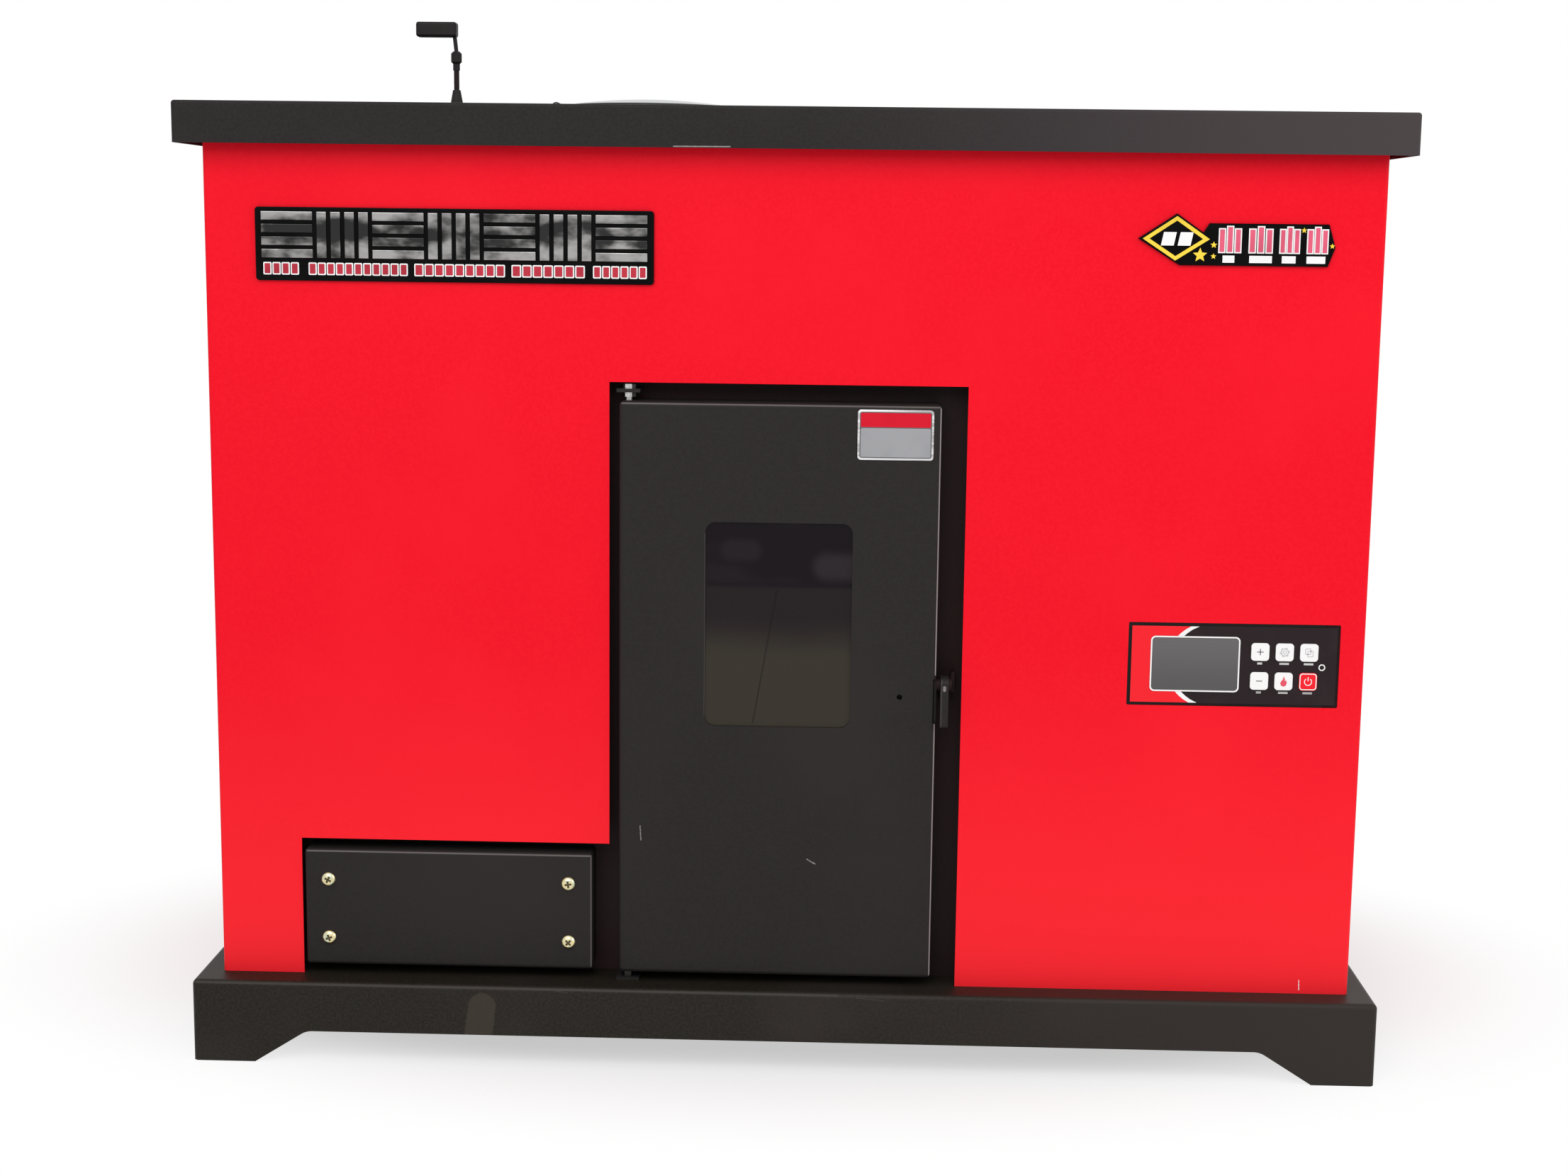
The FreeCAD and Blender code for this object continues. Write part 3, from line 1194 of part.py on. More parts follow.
def crank_rod(radius, extra):
    """Leaning upper rod, from inside the coupling up into the grip."""
    top = z_top + SLEEVE_RISE + SLEEVE_LENGTH + KNUCKLE_LENGTH
    lean = math.radians(CRANK_LEAN)
    axis = V(-math.sin(lean), 0, math.cos(lean))
    socket = V(stirrer_x, auger_y, top) - axis * CRANK_SOCKET
    length = CRANK_LENGTH + CRANK_SOCKET
    return rod(socket, axis, length + extra, radius), socket + axis * length


def stirrer_coupling():
    bottom = z_top + SLEEVE_RISE
    sleeve = rod(V(stirrer_x, auger_y, bottom), Z_AXIS, SLEEVE_LENGTH, SLEEVE_RADIUS)
    knuckle = rod(V(stirrer_x, auger_y, bottom + SLEEVE_LENGTH), Z_AXIS, KNUCKLE_LENGTH, KNUCKLE_RADIUS)
    knuckle = knuckle.makeChamfer(KNUCKLE_CHAMFER, [e for e in knuckle.Edges if len(e.Vertexes) == 1])
    bore = rod(V(stirrer_x, auger_y, bottom - OVERRUN), Z_AXIS, SLEEVE_LENGTH + OVERRUN,
               STIRRER_RADIUS + RUNNING_FIT)
    socket, _ = crank_rod(CRANK_RADIUS + RUNNING_FIT, OVERRUN)
    return joined(sleeve, knuckle).cut(bore).cut(socket)


def stirrer_handle():
    stem, end = crank_rod(CRANK_RADIUS, 0)
    x = (end.x + GRIP_OVERLAP - GRIP_LENGTH, end.x + GRIP_OVERLAP)
    z = (end.z - GRIP_BITE, end.z - GRIP_BITE + GRIP_HEIGHT)
    grip = block(x, around(auger_y, GRIP_THICK), z)
    grip = grip.makeFillet(GRIP_ROUND, grip.Edges)
    return joined(stem, grip)


def auger_tube():
    start = V(tube_left, auger_y, auger_z)
    end = pot_left + POT_WALL
    barrel = rod(start, X_AXIS, end - tube_left, AUGER_RADIUS)
    flange = rod(start, X_AXIS, AUGER_FLANGE_SHEET, AUGER_FLANGE)
    neck_x = around(stirrer_x, AUGER_NECK_LENGTH)
    neck_y = around(auger_y, AUGER_NECK_WIDTH)
    neck = block(neck_x, neck_y, (auger_z, neck_top))
    bore = rod(start - X_AXIS * OVERRUN, X_AXIS, end - tube_left + OVERRUN * 2, AUGER_RADIUS - AUGER_WALL)
    throat = block(grown(neck_x, -AUGER_WALL), grown(neck_y, -AUGER_WALL), (auger_z, neck_top + OVERRUN))
    return joined(barrel, flange, neck).cut(bore).cut(throat)


def auger_screw():
    """Shaft with a helical flight, from the gearbox to the burn pot."""
    flight_start = tube_left + AUGER_FLANGE_SHEET
    length = pot_left - FLIGHT_END_GAP - flight_start
    root = AUGER_SHAFT - FLIGHT_ROOT
    half = FLIGHT_SHEET / 2
    spine = Part.Wire(Part.makeHelix(length / FLIGHT_TURNS, length, AUGER_SHAFT).Edges)
    corners = [V(root, 0, -half), V(FLIGHT_RADIUS, 0, -half), V(FLIGHT_RADIUS, 0, half), V(root, 0, half)]
    flight = spine.makePipeShell([Part.makePolygon(corners + corners[:1])], True, True)
    reach = GEARBOX_BORE - FREE_GAP + AUGER_FLANGE_SHEET
    shaft = rod(V(0, 0, -reach), Z_AXIS, reach + length + FLIGHT_SHEET, AUGER_SHAFT)
    screw = joined(shaft, flight)
    screw.rotate(V(0, 0, 0), Y_AXIS, 90)
    screw.translate(V(flight_start, auger_y, auger_z))
    return screw


def auger_motor():
    x = (tube_left - GEARBOX_LENGTH, tube_left)
    gearbox = block(x, around(auger_y, GEARBOX_HALF * 2), around(auger_z, GEARBOX_HALF * 2))
    gearbox_mid = (x[0] + x[1]) / 2
    motor = rod(V(gearbox_mid, auger_y + GEARBOX_HALF, auger_z), Y_AXIS, AUGER_MOTOR_LENGTH,
                AUGER_MOTOR_RADIUS)
    stand = block(around(gearbox_mid, MOTOR_STAND_WIDTH), around(auger_y, MOTOR_STAND_WIDTH),
                  (z_deck, auger_z - GEARBOX_HALF))
    bore = rod(V(tube_left - GEARBOX_BORE, auger_y, auger_z), X_AXIS, GEARBOX_BORE + OVERRUN,
               AUGER_SHAFT + RUNNING_FIT)
    return joined(gearbox, motor, stand).cut(bore)


# Fire and air

def burn_pot():
    x = (pot_left, pot_right)
    y = around(auger_y, POT_WIDTH)
    z = (pot_bottom, pot_bottom + POT_HEIGHT)
    hollow = block(grown(x, -POT_WALL), grown(y, -POT_WALL), (z[0] + POT_FLOOR, z[1] + OVERRUN))
    cup = block(x, y, z).cut(hollow)
    feed = rod(V(pot_left - OVERRUN, auger_y, auger_z), X_AXIS, POT_WALL + OVERRUN * 2,
               AUGER_RADIUS + SEAT_FIT)
    air_z = (duct_bottom + duct_top) / 2
    air_start = pot_right - POT_WALL - OVERRUN
    holes = [rod(V(air_start, auger_y + i * POT_HOLE_PITCH, air_z), X_AXIS, POT_WALL + OVERRUN * 2, POT_HOLE)
             for i in (-1, 0, 1)]
    return cut_all(cup, [feed] + holes)


def air_duct():
    y = around(auger_y, DUCT_WIDTH)
    z = (duct_bottom, duct_top)
    outside = block((pot_right, fan_outlet), y, z)
    inside = block(grown((pot_right, fan_outlet), OVERRUN), grown(y, -DUCT_WALL), grown(z, -DUCT_WALL))
    return outside.cut(inside)


def combustion_fan_housing():
    """Drum on a foot, with its outlet running left into the air duct."""
    y = around(auger_y, DUCT_WIDTH)
    inner_y = grown(y, -FAN_WALL)
    drum = rod(V(fan_x, y[0], fan_z), Y_AXIS, DUCT_WIDTH, FAN_RADIUS + FAN_WALL)
    outlet = block((fan_outlet, fan_x), y, (duct_bottom, duct_top))
    foot = block(around(fan_x, FAN_FOOT_WIDTH), around(auger_y, FAN_FOOT_SHEET), (z_deck, fan_z))
    sole = block(around(fan_x, FAN_FOOT_WIDTH), y, (z_deck, z_deck + FAN_FOOT_SHEET))
    hollow = rod(V(fan_x, inner_y[0], fan_z), Y_AXIS, inner_y[1] - inner_y[0], FAN_RADIUS)
    throat = block((fan_outlet - OVERRUN, fan_x), inner_y, grown((duct_bottom, duct_top), -DUCT_WALL))
    inlet = rod(V(fan_x, y[0] - OVERRUN, fan_z), Y_AXIS, FAN_WALL + OVERRUN * 2, FAN_INLET)
    shaft = rod(V(fan_x, y[1] - FAN_WALL - OVERRUN, fan_z), Y_AXIS, FAN_WALL + OVERRUN * 2,
                FAN_SHAFT + FREE_GAP)
    return cut_all(joined(drum, outlet, foot, sole), [hollow, throat, inlet, shaft])


def fan_motor(start, axis):
    """Round motor with a blind bore for the wheel's shaft."""
    bore = rod(start - axis * OVERRUN, axis, FAN_SHAFT_GRIP + FREE_GAP + OVERRUN, FAN_SHAFT + RUNNING_FIT)
    return rod(start, axis, FAN_MOTOR_LENGTH, FAN_MOTOR_RADIUS).cut(bore)


def fan_wheel(radius, width, wall):
    """Bladed wheel on its shaft, standing on the drum's outer end along +z."""
    back = V(0, 0, -wall - WHEEL_SIDE_GAP)
    disc = rod(back, -Z_AXIS, WHEEL_DISC, radius)
    hub = rod(back, -Z_AXIS, width / 2, WHEEL_HUB)
    shaft_length = width / 2 + wall + WHEEL_SIDE_GAP + FAN_SHAFT_GRIP
    shaft = rod(back - Z_AXIS * width / 2, Z_AXIS, shaft_length, FAN_SHAFT)
    blades = []
    for i in range(WHEEL_BLADES):
        blade = block((radius * BLADE_ROOT_SHARE, radius), around(0, BLADE_SHEET), (back.z - width, back.z))
        blade.rotate(V(0, 0, 0), Z_AXIS, 360 / WHEEL_BLADES * i)
        blades.append(blade)
    return joined(disc, hub, shaft, *blades)


def combustion_fan_wheel():
    wheel = fan_wheel(FAN_RADIUS - WHEEL_GAP, DUCT_WIDTH - FAN_WALL * 2 - WHEEL_SIDE_GAP * 2, FAN_WALL)
    wheel.rotate(V(0, 0, 0), X_AXIS, -90)
    wheel.translate(V(fan_x, auger_y + DUCT_WIDTH / 2, fan_z))
    return wheel


def exhaust_fan_housing():
    """Drum beside the smoke box whose outlet leaves the rear as the flue spigot."""
    centre = V(smoke_right, exhaust_y, exhaust_z)
    drum = rod(centre, X_AXIS, exhaust_width, exhaust_radius + FAN_WALL)
    spigot_length = y_rear + FLUE_REACH - exhaust_y
    spigot = rod(V(flue_x, exhaust_y, flue_z), Y_AXIS, spigot_length, FLUE_RADIUS)
    collar = rod(V(flue_x, y_rear + FREE_GAP, flue_z), Y_AXIS, FLUE_COLLAR_WIDTH, FLUE_RADIUS + FLUE_COLLAR)
    hollow = rod(centre + X_AXIS * FAN_WALL, X_AXIS, exhaust_width - FAN_WALL * 2, exhaust_radius)
    throat = rod(V(flue_x, exhaust_y + FAN_WALL, flue_z), Y_AXIS, spigot_length + OVERRUN,
                 FLUE_RADIUS - FAN_WALL)
    inlet = rod(centre - X_AXIS * OVERRUN, X_AXIS, FAN_WALL + OVERRUN * 2, EXHAUST_INLET)
    shaft = rod(centre + X_AXIS * (exhaust_width - FAN_WALL - OVERRUN), X_AXIS, FAN_WALL + OVERRUN * 2,
                FAN_SHAFT + FREE_GAP)
    return cut_all(joined(drum, spigot, collar), [hollow, throat, inlet, shaft])


def exhaust_fan_wheel():
    width = exhaust_width - FAN_WALL * 2 - WHEEL_SIDE_GAP * 2
    wheel = fan_wheel(exhaust_radius - WHEEL_GAP, width, FAN_WALL)
    wheel.rotate(V(0, 0, 0), Y_AXIS, 90)
    wheel.translate(V(exhaust_right, exhaust_y, exhaust_z))
    return wheel


def ash_drawer():
    front = plate_back + DRAWER_SETBACK
    top = fire_bottom + DRAWER_HEIGHT
    spans = [grown((box_left, box_right), -DRAWER_SIDE_GAP), (front, box_back - DRAWER_END_GAP),
             (fire_bottom, top)]
    pan = tray(spans, DRAWER_SHEET, DRAWER_BEND, 2, 1)
    pull_top = top - DRAWER_PULL_DROP
    pull = block(around(door_mid, DRAWER_PULL), (front - DRAWER_PULL_REACH, front + DRAWER_SHEET),
                 (pull_top - DRAWER_SHEET, pull_top))
    return joined(pan, pull)


# Controls, plates and inlet

def button_places():
    """Each button's name with its middle as (x, z)."""
    places = []
    for row, names in enumerate(BUTTON_NAMES):
        for column, name in enumerate(names):
            x = button_x + (column - 1) * button_pitch_x
            z = control_z + BUTTON_Z + button_pitch_z / 2 - row * button_pitch_z
            places.append((name, x, z))
    return places


def display_spans(margin):
    x = grown((display_left, display_right), margin)
    z = grown(around(control_z + DISPLAY_Z, DISPLAY_HEIGHT), margin)
    return x, z


def control_face():
    y = (control_front, control_back)
    through = grown(y, OVERRUN)
    plate = rounded_block(around(control_x, CONTROL_WIDTH), y, around(control_z, CONTROL_HEIGHT),
                          CONTROL_ROUND, 1)
    holes = []
    for _, x, z in button_places():
        size = BUTTON_SIZE + FREE_GAP * 2
        holes.append(rounded_block(around(x, size), through, around(z, size), BUTTON_ROUND + FREE_GAP, 1))
    x, z = display_spans(SEAT_FIT)
    holes.append(rounded_block(x, through, z, DISPLAY_ROUND + SEAT_FIT, 1))
    return cut_all(plate, holes)


def display_glass():
    x, z = display_spans(0)
    return rounded_block(x, (control_front - DISPLAY_PROUD, control_back), z, DISPLAY_ROUND, 1)


def control_housing():
    """Flange behind the panel with a closed box and a window behind the buttons."""
    left, _ = around(control_x, CONTROL_WIDTH)
    right = half_width - PANEL_SHEET - POST_LEG - FREE_GAP
    flange_x = (left - CONTROL_FLANGE, right)
    flange_z = grown(around(control_z, CONTROL_HEIGHT), CONTROL_FLANGE)
    flange_y = (control_back, control_back + CONTROL_FLANGE_SHEET)
    box_x = (left + CONTROL_BOX_INSET, right)
    box_z = grown(around(control_z, CONTROL_HEIGHT), -CONTROL_BOX_INSET)
    box_y = (control_back, control_back + CONTROL_BOX_DEPTH)
    solid = joined(block(flange_x, flange_y, flange_z), block(box_x, box_y, box_z))
    hollow = block(grown(box_x, -CONTROL_BOX_WALL), (flange_y[1], box_y[1] - CONTROL_BOX_WALL),
                   grown(box_z, -CONTROL_BOX_WALL))
    rim = BUTTON_SIZE + BUTTON_RIM * 4
    window = block(around(button_x, button_pitch_x * 2 + rim), grown(flange_y, OVERRUN),
                   around(control_z + BUTTON_Z, button_pitch_z + rim))
    return solid.cut(hollow).cut(window)


def button(x, z):
    """Square cap with a rim behind the face that keeps it in."""
    rim_start = control_back + BUTTON_BACK_GAP
    cap = rounded_block(around(x, BUTTON_SIZE), (control_front - BUTTON_PROUD, rim_start),
                        around(z, BUTTON_SIZE), BUTTON_ROUND, 1)
    size = BUTTON_SIZE + BUTTON_RIM * 2
    rim = rounded_block(around(x, size), (rim_start, rim_start + BUTTON_RIM_SHEET), around(z, size),
                        BUTTON_ROUND + BUTTON_RIM, 1)
    return joined(cap, rim)


def left_nameplate():
    left = -half_width + LEFT_PLATE_INSET
    return rounded_block((left, left + LEFT_PLATE_WIDTH), (y_front - PLATE_THICK, y_front),
                         around(z_top - LEFT_PLATE_DROP, LEFT_PLATE_HEIGHT), LEFT_PLATE_ROUND, 1)


def right_nameplate():
    left = half_width - RIGHT_PLATE_INSET - RIGHT_PLATE_WIDTH
    bottom = z_top - RIGHT_PLATE_DROP - RIGHT_PLATE_HEIGHT / 2
    points = [V(left + RIGHT_PLATE_WIDTH * across, y_front, bottom + RIGHT_PLATE_HEIGHT * up)
              for across, up in RIGHT_PLATE_SHARES]
    return prism(points, -Y_AXIS * PLATE_THICK)


def power_inlet():
    z_mid = z_deck + INLET_RISE
    x = around(inlet_x, INLET_WIDTH)
    z = around(z_mid, INLET_HEIGHT)
    face = y_rear + INLET_FLANGE_SHEET
    flange = rounded_block(grown(x, INLET_FLANGE), (y_rear, face), grown(z, INLET_FLANGE), INLET_ROUND, 1)
    body = block(x, (y_rear - INLET_DEPTH, y_rear), z)
    floor = face - INLET_SOCKET_DEPTH
    socket = rounded_block(around(inlet_x, INLET_SOCKET_WIDTH), (floor, face + OVERRUN),
                           around(z_mid, INLET_SOCKET_HEIGHT), INLET_ROUND, 1)
    pins = [block(around(inlet_x + i * INLET_PIN_PITCH, INLET_PIN_SHEET), (floor, face - INLET_FLANGE_SHEET),
                  around(z_mid, INLET_PIN)) for i in (-1, 0, 1)]
    return joined(joined(flange, body).cut(socket), *pins)


pieces = {
    "plinth": plinth(),
    "front_panel": front_panel(),
    "left_side_panel": side_panel(-1),
    "right_side_panel": side_panel(1),
    "rear_panel": rear_panel(),
    "top_cover": top_cover(),
    "cabinet_frame": cabinet_frame(),
    "inner_front_plate": inner_front_plate(),
    "boiler_outer_shell": boiler_outer_shell(),
    "firebox_shell": firebox_shell(),
    "smoke_tubes": smoke_tubes(),
    "smoke_box": smoke_box(),
    "flow_pipe": water_pipe(flow_y, flow_z),
    "return_pipe": water_pipe(return_y, return_z),
    "door_skin": door_skin(),
    "door_liner": door_liner(),
    "door_gasket": door_gasket(),
    "door_glass": door_glass(),
    "glass_retainer": glass_retainer(),
    "door_label_plate": door_label_plate(),
    "hinge_brackets": hinge_brackets(),
    "hinge_pins": hinge_pins(),
    "latch_lever": latch_lever(),
    "latch_pivot_bolt": latch_pivot_bolt(),
    "latch_keeper": latch_keeper(),
    "access_cover": access_cover(),
    "access_cover_screws": access_cover_screws(),
    "hopper": hopper(),
    "fill_collar": fill_collar(),
    "fill_lid": fill_lid(),
    "fill_lid_hinge": fill_lid_hinge(),
    "fill_lid_pin": fill_lid_pin(),
    "stirrer_shaft": stirrer_shaft(),
    "stirrer_gland": stirrer_gland(),
    "stirrer_coupling": stirrer_coupling(),
    "stirrer_handle": stirrer_handle(),
    "auger_tube": auger_tube(),
    "auger_screw": auger_screw(),
    "auger_motor": auger_motor(),
    "burn_pot": burn_pot(),
    "air_duct": air_duct(),
    "combustion_fan_housing": combustion_fan_housing(),
    "combustion_fan_wheel": combustion_fan_wheel(),
    "combustion_fan_motor": fan_motor(V(fan_x, auger_y + DUCT_WIDTH / 2, fan_z), Y_AXIS),
    "exhaust_fan_housing": exhaust_fan_housing(),
    "exhaust_fan_wheel": exhaust_fan_wheel(),
    "exhaust_fan_motor": fan_motor(V(exhaust_right, exhaust_y, exhaust_z), X_AXIS),
    "ash_drawer": ash_drawer(),
    "control_face": control_face(),
    "control_housing": control_housing(),
    "display_glass": display_glass(),
    "left_nameplate": left_nameplate(),
    "right_nameplate": right_nameplate(),
    "power_inlet": power_inlet(),
}
for name, x, z in button_places():
    pieces[name] = button(x, z)

os.makedirs("parts", exist_ok=True)
for name, shape in pieces.items():
    shape.exportStep(os.path.join("parts", name + ".step"))
    print(name, len(shape.Solids), round(shape.Volume), shape.isValid())
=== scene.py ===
import json
import math

import bmesh
import bpy
from bpy.props import FloatProperty, FloatVectorProperty, PointerProperty
from mathutils import Matrix, Vector


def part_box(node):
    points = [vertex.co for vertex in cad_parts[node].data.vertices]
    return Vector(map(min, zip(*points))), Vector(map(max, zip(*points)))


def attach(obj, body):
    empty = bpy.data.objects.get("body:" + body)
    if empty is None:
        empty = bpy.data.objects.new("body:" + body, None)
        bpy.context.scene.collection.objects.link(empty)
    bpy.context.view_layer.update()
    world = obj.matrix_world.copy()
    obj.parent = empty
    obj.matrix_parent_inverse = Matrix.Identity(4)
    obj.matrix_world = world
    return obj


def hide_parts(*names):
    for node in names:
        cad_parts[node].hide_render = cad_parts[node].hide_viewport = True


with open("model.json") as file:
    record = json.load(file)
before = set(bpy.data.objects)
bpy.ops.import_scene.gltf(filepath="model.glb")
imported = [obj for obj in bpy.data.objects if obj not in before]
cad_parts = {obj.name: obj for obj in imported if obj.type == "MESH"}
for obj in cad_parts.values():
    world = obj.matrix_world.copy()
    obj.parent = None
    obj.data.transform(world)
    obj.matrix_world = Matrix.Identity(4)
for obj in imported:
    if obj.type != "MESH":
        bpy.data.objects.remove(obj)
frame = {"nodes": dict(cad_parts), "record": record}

bl_info = {
    "name": "Pellet boiler stove",
    "version": (1, 0, 0),
    "blender": (4, 5, 0),
    "location": "View3D > Sidebar > Boiler",
    "description": "Dresses the packed frame of a pellet boiler stove with its visible pieces",
    "category": "Object",
}

MM = 0.001
SHARP_ANGLE = math.radians(34)
FLAT_ANGLE = math.radians(8)
QUARTER_TURN = math.pi / 2
FULL_TURN = math.tau
FRONT = Vector((0, -1, 0))
BACK = Vector((0, 1, 0))
LEFT = Vector((-1, 0, 0))
RIGHT = Vector((1, 0, 0))
PLAIN_WHITE = (1.0, 1.0, 1.0, 1.0)
FINISH_PREFIX = "boiler_"


# Settings

def length(name, default, description):
    """A length setting in metres."""
    return FloatProperty(name=name, default=default, description=description, min=0.0,
                         unit="LENGTH", subtype="DISTANCE", precision=5)


def place(name, default, description):
    """A coordinate setting in metres."""
    return FloatProperty(name=name, default=default, description=description, unit="LENGTH")


def angle(name, default, description):
    """An angle setting in radians."""
    return FloatProperty(name=name, default=default, description=description, unit="ROTATION")


def power(name, default, description):
    """A lamp's power setting in watts."""
    return FloatProperty(name=name, default=default, description=description, min=0.0, subtype="POWER")


def colour(name, default, description):
    """A colour setting in linear light."""
    return FloatVectorProperty(name=name, default=default, description=description, size=3,
                               min=0.0, max=1.0, subtype="COLOR")


class BoilerSizes(bpy.types.PropertyGroup):
    """Sizes of the pieces that are added to the frame."""

    cross_width: length("Screw cross width", 1.7 * MM, "Width of the cross recess's arms")
    cross_reach: length("Screw cross reach", 3.1 * MM, "Half length of the cross recess's arms")
    cross_depth: length("Screw cross depth", 1.5 * MM, "Depth of the cross recess")
    panel_screw: length("Panel screw radius", 4.2 * MM, "Radius of the cabinet's small screw heads")
    badge_edge: length("Badge edge", 0.7 * MM, "Bevel round the front of both badges")
    badge_relief: length("Badge relief", 1.4 * MM, "How far the badge's bars stand out")
    label_edge: length("Label edge", 1.8 * MM, "Width of the door label's bright rim")
    print_sheet: length("Print thickness", 0.12 * MM, "Thickness of the controller's printed fields")
    frame_line: length("Display frame line", 1.2 * MM, "Width of the line round the display")
    sign_sheet: length("Button sign thickness", 0.1 * MM, "Thickness of the signs on the buttons")


class BoilerColours(bpy.types.PropertyGroup):
    """Colours of the boiler and its stage."""

    # The cabinet's red is one paint: its paler, lighter red towards the floor is painted light.
    red: colour("Red paint", (0.775, 0.0036, 0.0160), "Cabinet panels near the top")
    red_worn: colour("Red paint, worn", (0.82, 0.0075, 0.0195), "Lighter patches of the red paint")
    red_lit_low: colour("Red paint, low", (0.90, 0.0195, 0.0290), "Cabinet panels near the floor")
    black: colour("Black paint", (0.0155, 0.0125, 0.0127), "Door, access cover and latch")
    black_worn: colour("Black paint, worn", (0.0205, 0.0172, 0.0168), "Lighter patches of the black paint")
    # Painted shade: a darker copy of the black paint for the top cover; painted sheen: its lighter right end.
    shaded_top_black: colour("Top paint", (0.0128, 0.0100, 0.0106), "Top cover's left end")
    top_sheen: colour("Top paint, sheen", (0.050, 0.041, 0.043), "Top cover's lighter right end")
    # Dark paint of the plates in the recesses, with a painted reddish reflection of the red panels.
    recess: colour("Recess paint", (0.0230, 0.0088, 0.0090), "Plates behind the door and the cover")
    plinth: colour("Plinth paint", (0.0100, 0.0083, 0.0048), "Plinth")
    # Both the plinth's worn patches and the painted sheen at its right end.
    plinth_worn_and_sheen: colour("Plinth paint, worn", (0.0255, 0.0207, 0.0175), "Lighter patches of the plinth")
    # Also the tone of the painted highlight on the top cover's lower edge.
    scratch: colour("Scratch", (0.22, 0.21, 0.20), "Bare spots in the black paint")
    scuff: colour("Scuff", (0.0354, 0.0302, 0.0212), "Grey rub on the plinth")
    # Painted highlight along the plinth's upper fold.
    plinth_fold_highlight: colour("Plinth edge", (0.0320, 0.0285, 0.0240), "Fold along the plinth's upper edge")
    # Painted highlights where folds and edges catch light, and a painted glint on the latch.
    bright_fold_highlight: colour("Bright edge", (0.32, 0.30, 0.295), "Door's fold on the latch side")
    soft_edge: colour("Soft edge", (0.105, 0.095, 0.092), "Other folds that catch light")
    window_edge_highlight: colour("Window edge", (0.060, 0.055, 0.055), "Door's cut edge left of the window")
    latch_edge_highlight: colour("Latch edge", (0.036, 0.032, 0.031), "Latch's left edge")
    latch_glint: colour("Latch glint", (0.20, 0.185, 0.18), "Light on the latch's upper bend")
    steel: colour("Steel", (0.56, 0.56, 0.55), "Turned steel")
    # Painted shade: the lower hinge pin lies in shadow.
    steel_in_shade: colour("Steel, low", (0.060, 0.056, 0.052), "Dirty steel of the lower hinge pin")
    zinc: colour("Zinc", (0.50, 0.51, 0.52), "Zinc-coated sheet")
    boiler: colour("Boiler plate", (0.16, 0.155, 0.15), "Bare plate of the boiler body")
    soot: colour("Soot", (0.022, 0.020, 0.018), "Soot on the boiler plate and the burn pot")
    iron: colour("Cast iron", (0.055, 0.054, 0.052), "Burn pot")
    yellow_zinc: colour("Yellow zinc", (0.80, 0.68, 0.38), "Screws of the access cover")
    green_zinc: colour("Yellow zinc, green cast", (0.60, 0.64, 0.45), "Tint of the plating")
    alloy: colour("Motor alloy", (0.42, 0.43, 0.44), "Motors")
    glass_high: colour("Window, upper", (0.0058, 0.0030, 0.0052), "Window's dark upper part")
    # Painted reflection: the grey band across the window's middle, under a reflected dark line.
    glass_mid_reflection: colour("Window, middle", (0.0138, 0.0098, 0.0113), "Window's grey middle part")
    glass_low: colour("Window, lower", (0.0355, 0.0312, 0.0225), "Window's olive lower part")
    glass_glint: colour("Window, glint", (0.0207, 0.0160, 0.0186), "Vague reflections in the window")
    rope: colour("Rope", (0.55, 0.54, 0.48), "Door gasket")
    lid: colour("Lid steel", (0.60, 0.60, 0.60), "Fill lid's crown")
    gloss: colour("Gloss black", (0.0020, 0.0020, 0.0022), "Plates of both badges")
    overlay: colour("Overlay", (0.0215, 0.0146, 0.0163), "Controller's black field")
    lcd: colour("Display", (0.122, 0.118, 0.120), "Controller's display")
    lcd_low: colour("Display, low", (0.085, 0.083, 0.085), "Display's lower part")
    print_red: colour("Red print", (0.82, 0.0185, 0.0280), "Controller's red field and button")
    white: colour("White print", (0.82, 0.82, 0.82), "Buttons and printed lines")
    grey_sign: colour("Grey sign", (0.52, 0.53, 0.54), "Grey signs on the white buttons")
    dark_sign: colour("Dark sign", (0.10, 0.10, 0.11), "Dark signs on the white buttons")
    flame_sign: colour("Flame sign", (0.70, 0.09, 0.13), "Flame on its white button")
    chrome: colour("Chrome", (0.41, 0.40, 0.395), "Badge bars where they reflect light")
    chrome_dark: colour("Chrome, dark", (0.034, 0.035, 0.034), "Badge bars where they reflect the room")
    stripe: colour("Badge stripe", (0.46, 0.030, 0.052), "Red blocks of the left badge")
    yellow: colour("Badge yellow", (0.86, 0.62, 0.06), "Ring and stars of the right badge")
    pink: colour("Badge pink", (0.70, 0.11, 0.19), "Bars of the right badge")
    label_grey: colour("Label grey", (0.31, 0.315, 0.33), "Door label's field")
    label_red: colour("Label red", (0.60, 0.010, 0.026), "Door label's band")
    floor: colour("Floor", (0.90, 0.90, 0.90), "Floor of the stage")


class BoilerStage(bpy.types.PropertyGroup):
    """Light, floor and camera of the stage."""

    world_light: FloatProperty(name="World light", default=0.62, min=0.0,
                               description="Strength of the even light from all round")
    key_light: power("Key light", 46.0, "Power of the soft light over the camera")
    side_light: power("Side light", 16.0, "Power of the soft light from the right")
    lens: FloatProperty(name="Lens", default=52.555, min=1.0, subtype="DISTANCE_CAMERA",
                        description="Focal length on a 36 mm sensor")
    camera_x: place("Camera X", 0.05624, "Camera to the right")
    camera_y: place("Camera Y", -2.25317, "Camera to the back")
    camera_z: place("Camera Z", 0.73374, "Camera over the floor")
    camera_yaw: angle("Camera yaw", -0.02971, "Turn of the camera to the right")
    camera_pitch: angle("Camera pitch", -0.15439, "Tilt of the camera upwards")
    camera_roll: angle("Camera roll", 0.01194, "Roll of the camera")
    floor_size: length("Floor size", 9.0, "Side of the floor")


def sizes():
    return bpy.context.scene.boiler_sizes


def colours():
    return bpy.context.scene.boiler_colours


# Spans and places

